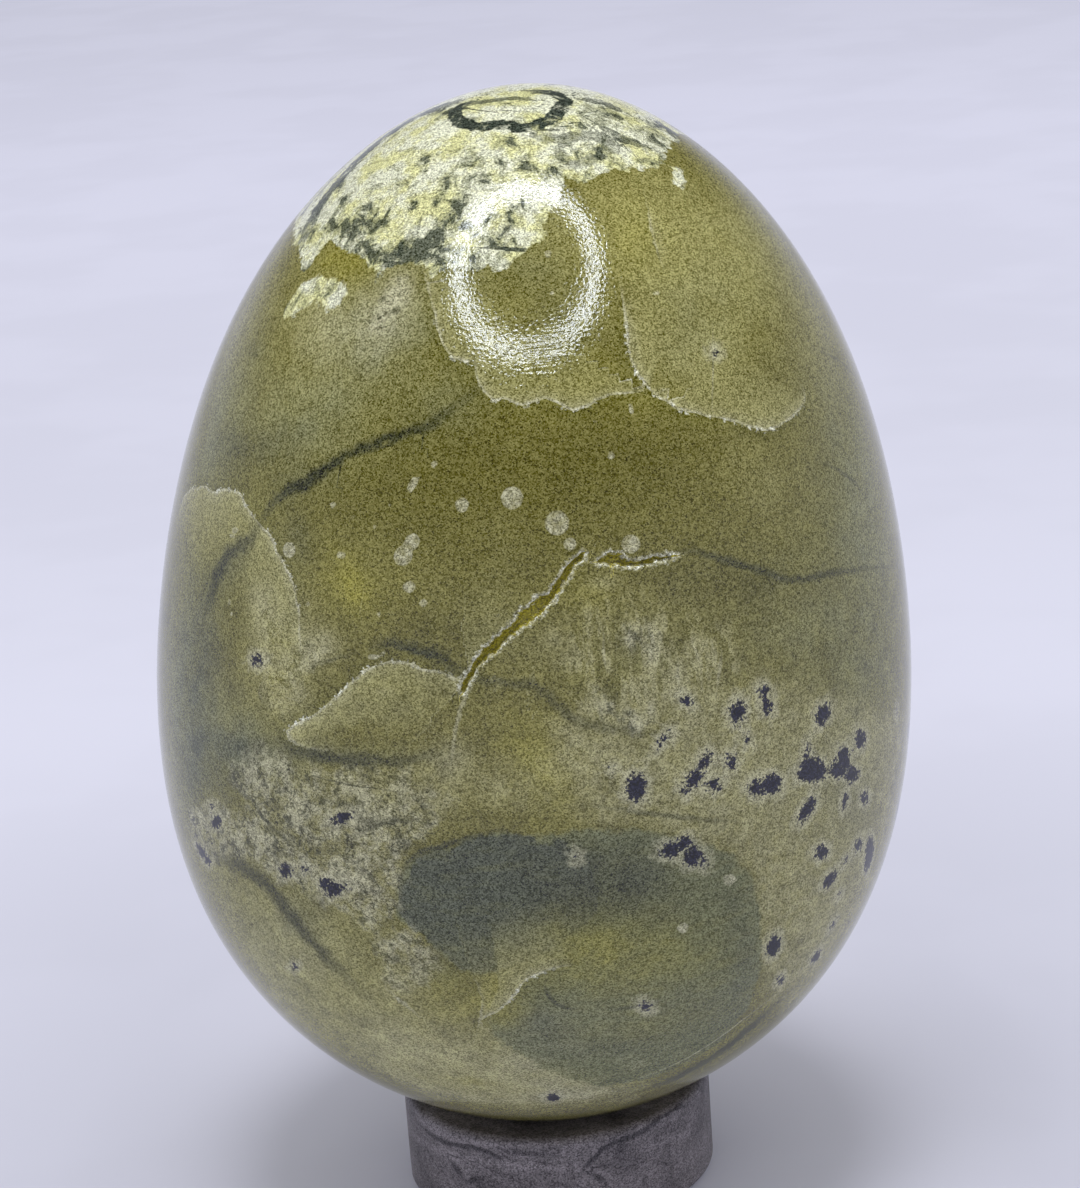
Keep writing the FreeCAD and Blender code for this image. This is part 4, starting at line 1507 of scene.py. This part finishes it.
def green_stone(colours):
    """Polished green stone with its markings."""
    material, nodes, shader = new_material("Green stone")
    patches = nodes.noise(2.4, detail=6, roughness=0.6)
    colour = olive_base(nodes, colours, patches)
    colour, disc = grey_and_beige(nodes, colours, colour, patches)
    colour = mottling(nodes, colours, colour)
    colour = washed(nodes, colour, "yellow_wash", colours.yellow, 0.8, patches)
    colour = flakes(nodes, colours, colour)
    deep = nodes.times(nodes.measure("deep_wash"), nodes.ease(patches, 0.3, 0.7, 0.6, 1.2), 0.75)
    colour = nodes.blend(deep, colour, colours.shade, "MULTIPLY")
    less_high_up = nodes.ease(nodes.split(nodes.position)[2], 40.0, 54.0, 1.2, 0.45)
    less_in_disc = nodes.ease(disc, 0.0, 1.0, 1.0, 0.6)
    colour = mottled_over(nodes, colour, nodes.times(less_high_up, less_in_disc))
    colour = veins(nodes, colours, colour)
    colour, crust = cream_crust(nodes, colours, colour)
    colour = dots_and_spots(nodes, colours, colour)
    colour, crack = open_crack(nodes, colours, colour)
    grain = nodes.group("Stone grain", colour=colour, size=0.078, strength=1.1)
    nodes.put(shader.inputs["Base Color"], grain["Colour"])
    rough = 0.03
    for mask, rougher in ((crust, 0.03), (grain["Dull"], 0.08), (crack, 0.5)):
        rough = nodes.plus(nodes.times(mask, rougher), rough)
    nodes.put(shader.inputs["Roughness"], rough)
    nodes.bump(shader, polish_height(nodes), strength=0.4, distance=0.033 * MM)
    return material


def grey_stone(colours):
    """Dull grey stone of the ring, with dark and pale veins."""
    material, nodes, shader = new_material("Grey stone")
    clouds = nodes.noise(4.0, detail=5, roughness=0.6, distortion=0.6)
    colour = nodes.tinted(colours.stone, colours.light, nodes.ease(clouds, 0.42, 0.62, 0.0, 0.55))
    colour = nodes.tinted(colour, colours.dark, nodes.ease(clouds, 0.46, 0.30, 0.0, 0.6))
    drift = nodes.noise(5.0, detail=4, roughness=0.6)
    for level, tint in ((0.56, colours.light), (0.42, colours.dark)):
        gap = nodes.absolute(nodes.minus(drift, level))
        colour = nodes.tinted(colour, tint, nodes.ease(gap, 0.0, 0.01, 0.4, 0.0))
    for name, tint in (("light_vein", colours.light), ("dark_vein", colours.dark)):
        colour = nodes.tinted(colour, tint, nodes.line(name, wander=0.4, size=0.7, core=0.3))
    colour = mottled_over(nodes, colour, 0.9)
    pits = nodes.ease(nodes.noise(0.7, detail=4, roughness=0.7), 0.64, 0.72, 0.0, 0.9)
    colour = nodes.tinted(colour, colours.dark, pits)
    grain = nodes.group("Stone grain", colour=colour, size=0.085, strength=1.0)
    nodes.put(shader.inputs["Base Color"], grain["Colour"])
    shader.inputs["Roughness"].default_value = 0.5
    nodes.bump(shader, nodes.noise(0.6, detail=5, roughness=0.65), strength=0.5, distance=0.1 * MM)
    return material


def pale_floor(studio):
    """Pale floor with a faint unevenness and painted light and shade: paler round the ring where
    the egg's shadow falls, darker further out in front, and a lighter tone the further back it is.
    """
    material, nodes, shader = new_material("Pale floor")
    beyond = nodes.vector("LENGTH", nodes.vector("MULTIPLY", nodes.position, (1.0, 1.0, 0.0)))
    from_ring = nodes.vector("LENGTH", nodes.vector("MULTIPLY", nodes.position, (1.0, 0.6, 0.0)))
    # Painted light round the ring, where the egg's shadow falls, and painted shade further out in
    # front.
    colour = nodes.tinted(studio.floor_ring_painted_light, studio.floor_near_painted_shade, nodes.ease(from_ring, 18.0, 36.0))
    colour = nodes.tinted(colour, studio.floor, nodes.ease(beyond, 25.0, 120.0))
    # Painted light: a lighter tone far behind.
    colour = nodes.tinted(colour, studio.floor_far_painted_light, nodes.ease(beyond, 150.0, 450.0))
    uneven = nodes.ease(nodes.noise(40.0), 0.4, 0.6, 0.97, 1.0)
    nodes.put(shader.inputs["Base Color"], nodes.scaled(colour, uneven))
    shader.inputs["Roughness"].default_value = 0.9
    shader.inputs["Specular IOR Level"].default_value = 0.0
    return material


# The stage

FLOOR_REACH = 4.0

# From the egg's centre to the lamp overhead, and how far the ring lamp's direction is
# turned to the right, as a share
TOP_LAMP_PLACE = (0.0, -0.05, 0.45)
RING_LAMP_RIGHT_SHARE = 0.015
RING_LAMP_CORNERS = 96

# The room high up, as the polish shows it
DIM_ROOM = (0.07, 0.07, 0.075)

SENSOR_WIDTH = 36
CLIP_RANGE = (0.01, 50)


def add_floor(studio):
    """A wide floor under the ring."""
    low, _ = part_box("ring_stand")
    ways = ((-1, -1), (1, -1), (1, 1), (-1, 1))
    corners = [(across * FLOOR_REACH, along * FLOOR_REACH, low.z) for across, along in ways]
    floor = add_mesh("floor", corners, [(0, 1, 2, 3)])
    floor.data.materials.append(pale_floor(studio))


def empty_nodes(owner):
    """Nodes of a material or a world, with what it starts with cleared away."""
    owner.use_nodes = True
    owner.node_tree.nodes.clear()
    return Nodes(owner.node_tree)


def lamp_light(studio):
    """Plain glow of the ring lamp."""
    material = bpy.data.materials.new("Ring lamp light")
    nodes = empty_nodes(material)
    glow = nodes.add("ShaderNodeEmission")
    nodes.fill(glow, color=studio.lamp_colour, strength=studio.lamp_strength)
    nodes.put(nodes.add("ShaderNodeOutputMaterial").inputs["Surface"], glow.outputs[0])
    return material


def add_ring_lamp(shape, studio):
    """A ring lamp over the front, which only shines in the polish."""
    lit = shape.seen([LAMP_PIXEL])[0]
    elevation = studio.lamp_elevation
    aim = unit(np.array([RING_LAMP_RIGHT_SHARE, -math.cos(elevation), math.sin(elevation)]))
    middle = lit + aim * studio.lamp_distance
    across = unit(np.cross(aim, (1.0, 0, 0)))
    turns = np.linspace(0, 2 * math.pi, RING_LAMP_CORNERS, endpoint=False)
    circle = np.outer(np.cos(turns), across) + np.outer(np.sin(turns), np.cross(aim, across))
    half_width = studio.lamp_width / 2
    radii = (studio.lamp_radius - half_width, studio.lamp_radius + half_width)
    points = np.concatenate([middle + radius * circle for radius in radii])
    lamp = add_mesh("ring_lamp", points, quads(2, RING_LAMP_CORNERS))
    lamp.data.materials.append(lamp_light(studio))
    lamp.visible_camera = False
    lamp.visible_diffuse = False
    lamp.visible_transmission = False
    lamp.visible_shadow = False


def add_top_lamp(shape, studio):
    """A soft lamp overhead that gives the floor its shadow."""
    data = bpy.data.lights.new("top_lamp", "AREA")
    data.shape = "DISK"
    data.size = studio.lamp_radius * 2
    data.energy = studio.top_light
    lamp = add_object("top_lamp", data)
    away = Vector(TOP_LAMP_PLACE)
    turned = (-away).to_track_quat("-Z", "Y").to_matrix().to_4x4()
    lamp.matrix_world = Matrix.Translation(Vector(shape.centre) + away) @ turned
    lamp.visible_glossy = False


def set_world(studio):
    """Even white light. The camera sees the floor's colour, and the polish a dim room."""
    world = bpy.data.worlds.new("Studio")
    bpy.context.scene.world = world
    nodes = empty_nodes(world)
    height = nodes.split(nodes.add("ShaderNodeTexCoord").outputs["Generated"])[2]
    room = nodes.tinted(studio.room, DIM_ROOM, nodes.ease(height, 0.02, 0.45))
    path = nodes.add("ShaderNodeLightPath").outputs
    even = (studio.light, studio.light, studio.light)
    colour = nodes.tinted(even, room, path["Is Glossy Ray"])
    colour = nodes.tinted(colour, studio.backdrop, path["Is Camera Ray"])
    shine = nodes.add("ShaderNodeBackground")
    nodes.put(shine.inputs["Color"], colour)
    nodes.put(nodes.add("ShaderNodeOutputWorld").inputs["Surface"], shine.outputs[0])


def add_camera(shape):
    """Camera of the picture. Its shift puts the egg where the picture has it."""
    width, height = PICTURE_SIZE
    data = bpy.data.cameras.new("camera")
    data.sensor_width = SENSOR_WIDTH
    data.lens = SENSOR_WIDTH * shape.focal / height
    data.shift_x = (width / 2 - CENTRE_PIXEL[0]) / height
    data.shift_y = (CENTRE_PIXEL[1] - height / 2) / height
    data.clip_start, data.clip_end = CLIP_RANGE
    camera = add_object("camera", data)
    turned = np.stack([shape.picture_right, shape.picture_up, -shape.look], 1)
    camera.matrix_world = Matrix.Translation(Vector(shape.eye)) @ Matrix(turned.tolist()).to_4x4()
    bpy.context.scene.camera = camera


# Operators, one for each piece and one for the stage


def egg_shape(context):
    return EggShape(context.scene.egg_sizes, context.scene.studio)


class OBJECT_OT_add_stone_egg(bpy.types.Operator):
    """Build the polished egg with its crack and markings"""

    bl_idname = "object.add_stone_egg"
    bl_label = "Stone egg"

    def execute(self, context):
        shape = egg_shape(context)
        sizes = context.scene.egg_sizes
        points, faces = egg_grid(shape)
        measured = measured_markings(shape, points, sizes.crack_width)
        points = sunk_crack(shape, points, measured["crack"], sizes.crack_depth)
        egg = add_mesh("egg_stone", points, faces)
        for name, values in measured.items():
            write_attribute(egg.data, name, values)
        egg.data.materials.append(green_stone(context.scene.egg_colours))
        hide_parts("egg")
        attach(egg, "egg")
        return {"FINISHED"}


class OBJECT_OT_add_stone_ring(bpy.types.Operator):
    """Build the ring that the egg stands in"""

    bl_idname = "object.add_stone_ring"
    bl_label = "Stone ring"

    def execute(self, context):
        wall = RingShape(egg_shape(context))
        points, faces, outward = ring_grid(wall, context.scene.ring_sizes)
        ring = add_mesh("ring_stone", points, faces)
        for name, values in ring_veins(wall, points, outward).items():
            write_attribute(ring.data, name, values)
        ring.data.materials.append(grey_stone(context.scene.ring_colours))
        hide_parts("ring_stand")
        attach(ring, "stand")
        return {"FINISHED"}


class SCENE_OT_add_stage(bpy.types.Operator):
    """Set the floor, the light and the camera"""

    bl_idname = "scene.add_stage"
    bl_label = "Stage"

    def execute(self, context):
        studio = context.scene.studio
        shape = egg_shape(context)
        add_floor(studio)
        add_ring_lamp(shape, studio)
        add_top_lamp(shape, studio)
        set_world(studio)
        add_camera(shape)
        context.scene.view_settings.view_transform = "Standard"
        return {"FINISHED"}


class VIEW3D_PT_stone_egg(bpy.types.Panel):
    """Sizes, colours and operators of the stone egg"""

    bl_label = "Stone egg"
    bl_space_type = "VIEW_3D"
    bl_region_type = "UI"
    bl_category = "Stone egg"

    def draw(self, context):
        for operator in OPERATORS:
            self.layout.operator(operator.bl_idname)
        for name, group in SETTINGS.items():
            box = self.layout.box()
            box.label(text=name.replace("_", " ").capitalize())
            for item in group.__annotations__:
                box.prop(getattr(context.scene, name), item)


OPERATORS = (OBJECT_OT_add_stone_ring, OBJECT_OT_add_stone_egg, SCENE_OT_add_stage)
SETTINGS = {
    "egg_sizes": EggSizes,
    "egg_colours": EggColours,
    "ring_sizes": RingSizes,
    "ring_colours": RingColours,
    "studio": StudioSettings,
}


def register():
    for group in SETTINGS.values():
        bpy.utils.register_class(group)
    for operator in OPERATORS:
        bpy.utils.register_class(operator)
    bpy.utils.register_class(VIEW3D_PT_stone_egg)
    for name, group in SETTINGS.items():
        setattr(bpy.types.Scene, name, PointerProperty(type=group))


def unregister():
    for name in SETTINGS:
        delattr(bpy.types.Scene, name)
    bpy.utils.unregister_class(VIEW3D_PT_stone_egg)
    for operator in reversed(OPERATORS):
        bpy.utils.unregister_class(operator)
    for group in reversed(SETTINGS.values()):
        bpy.utils.unregister_class(group)


def main():
    register()
    bpy.ops.object.add_stone_ring()
    bpy.ops.object.add_stone_egg()
    bpy.ops.scene.add_stage()


if __name__ == "__main__":
    main()
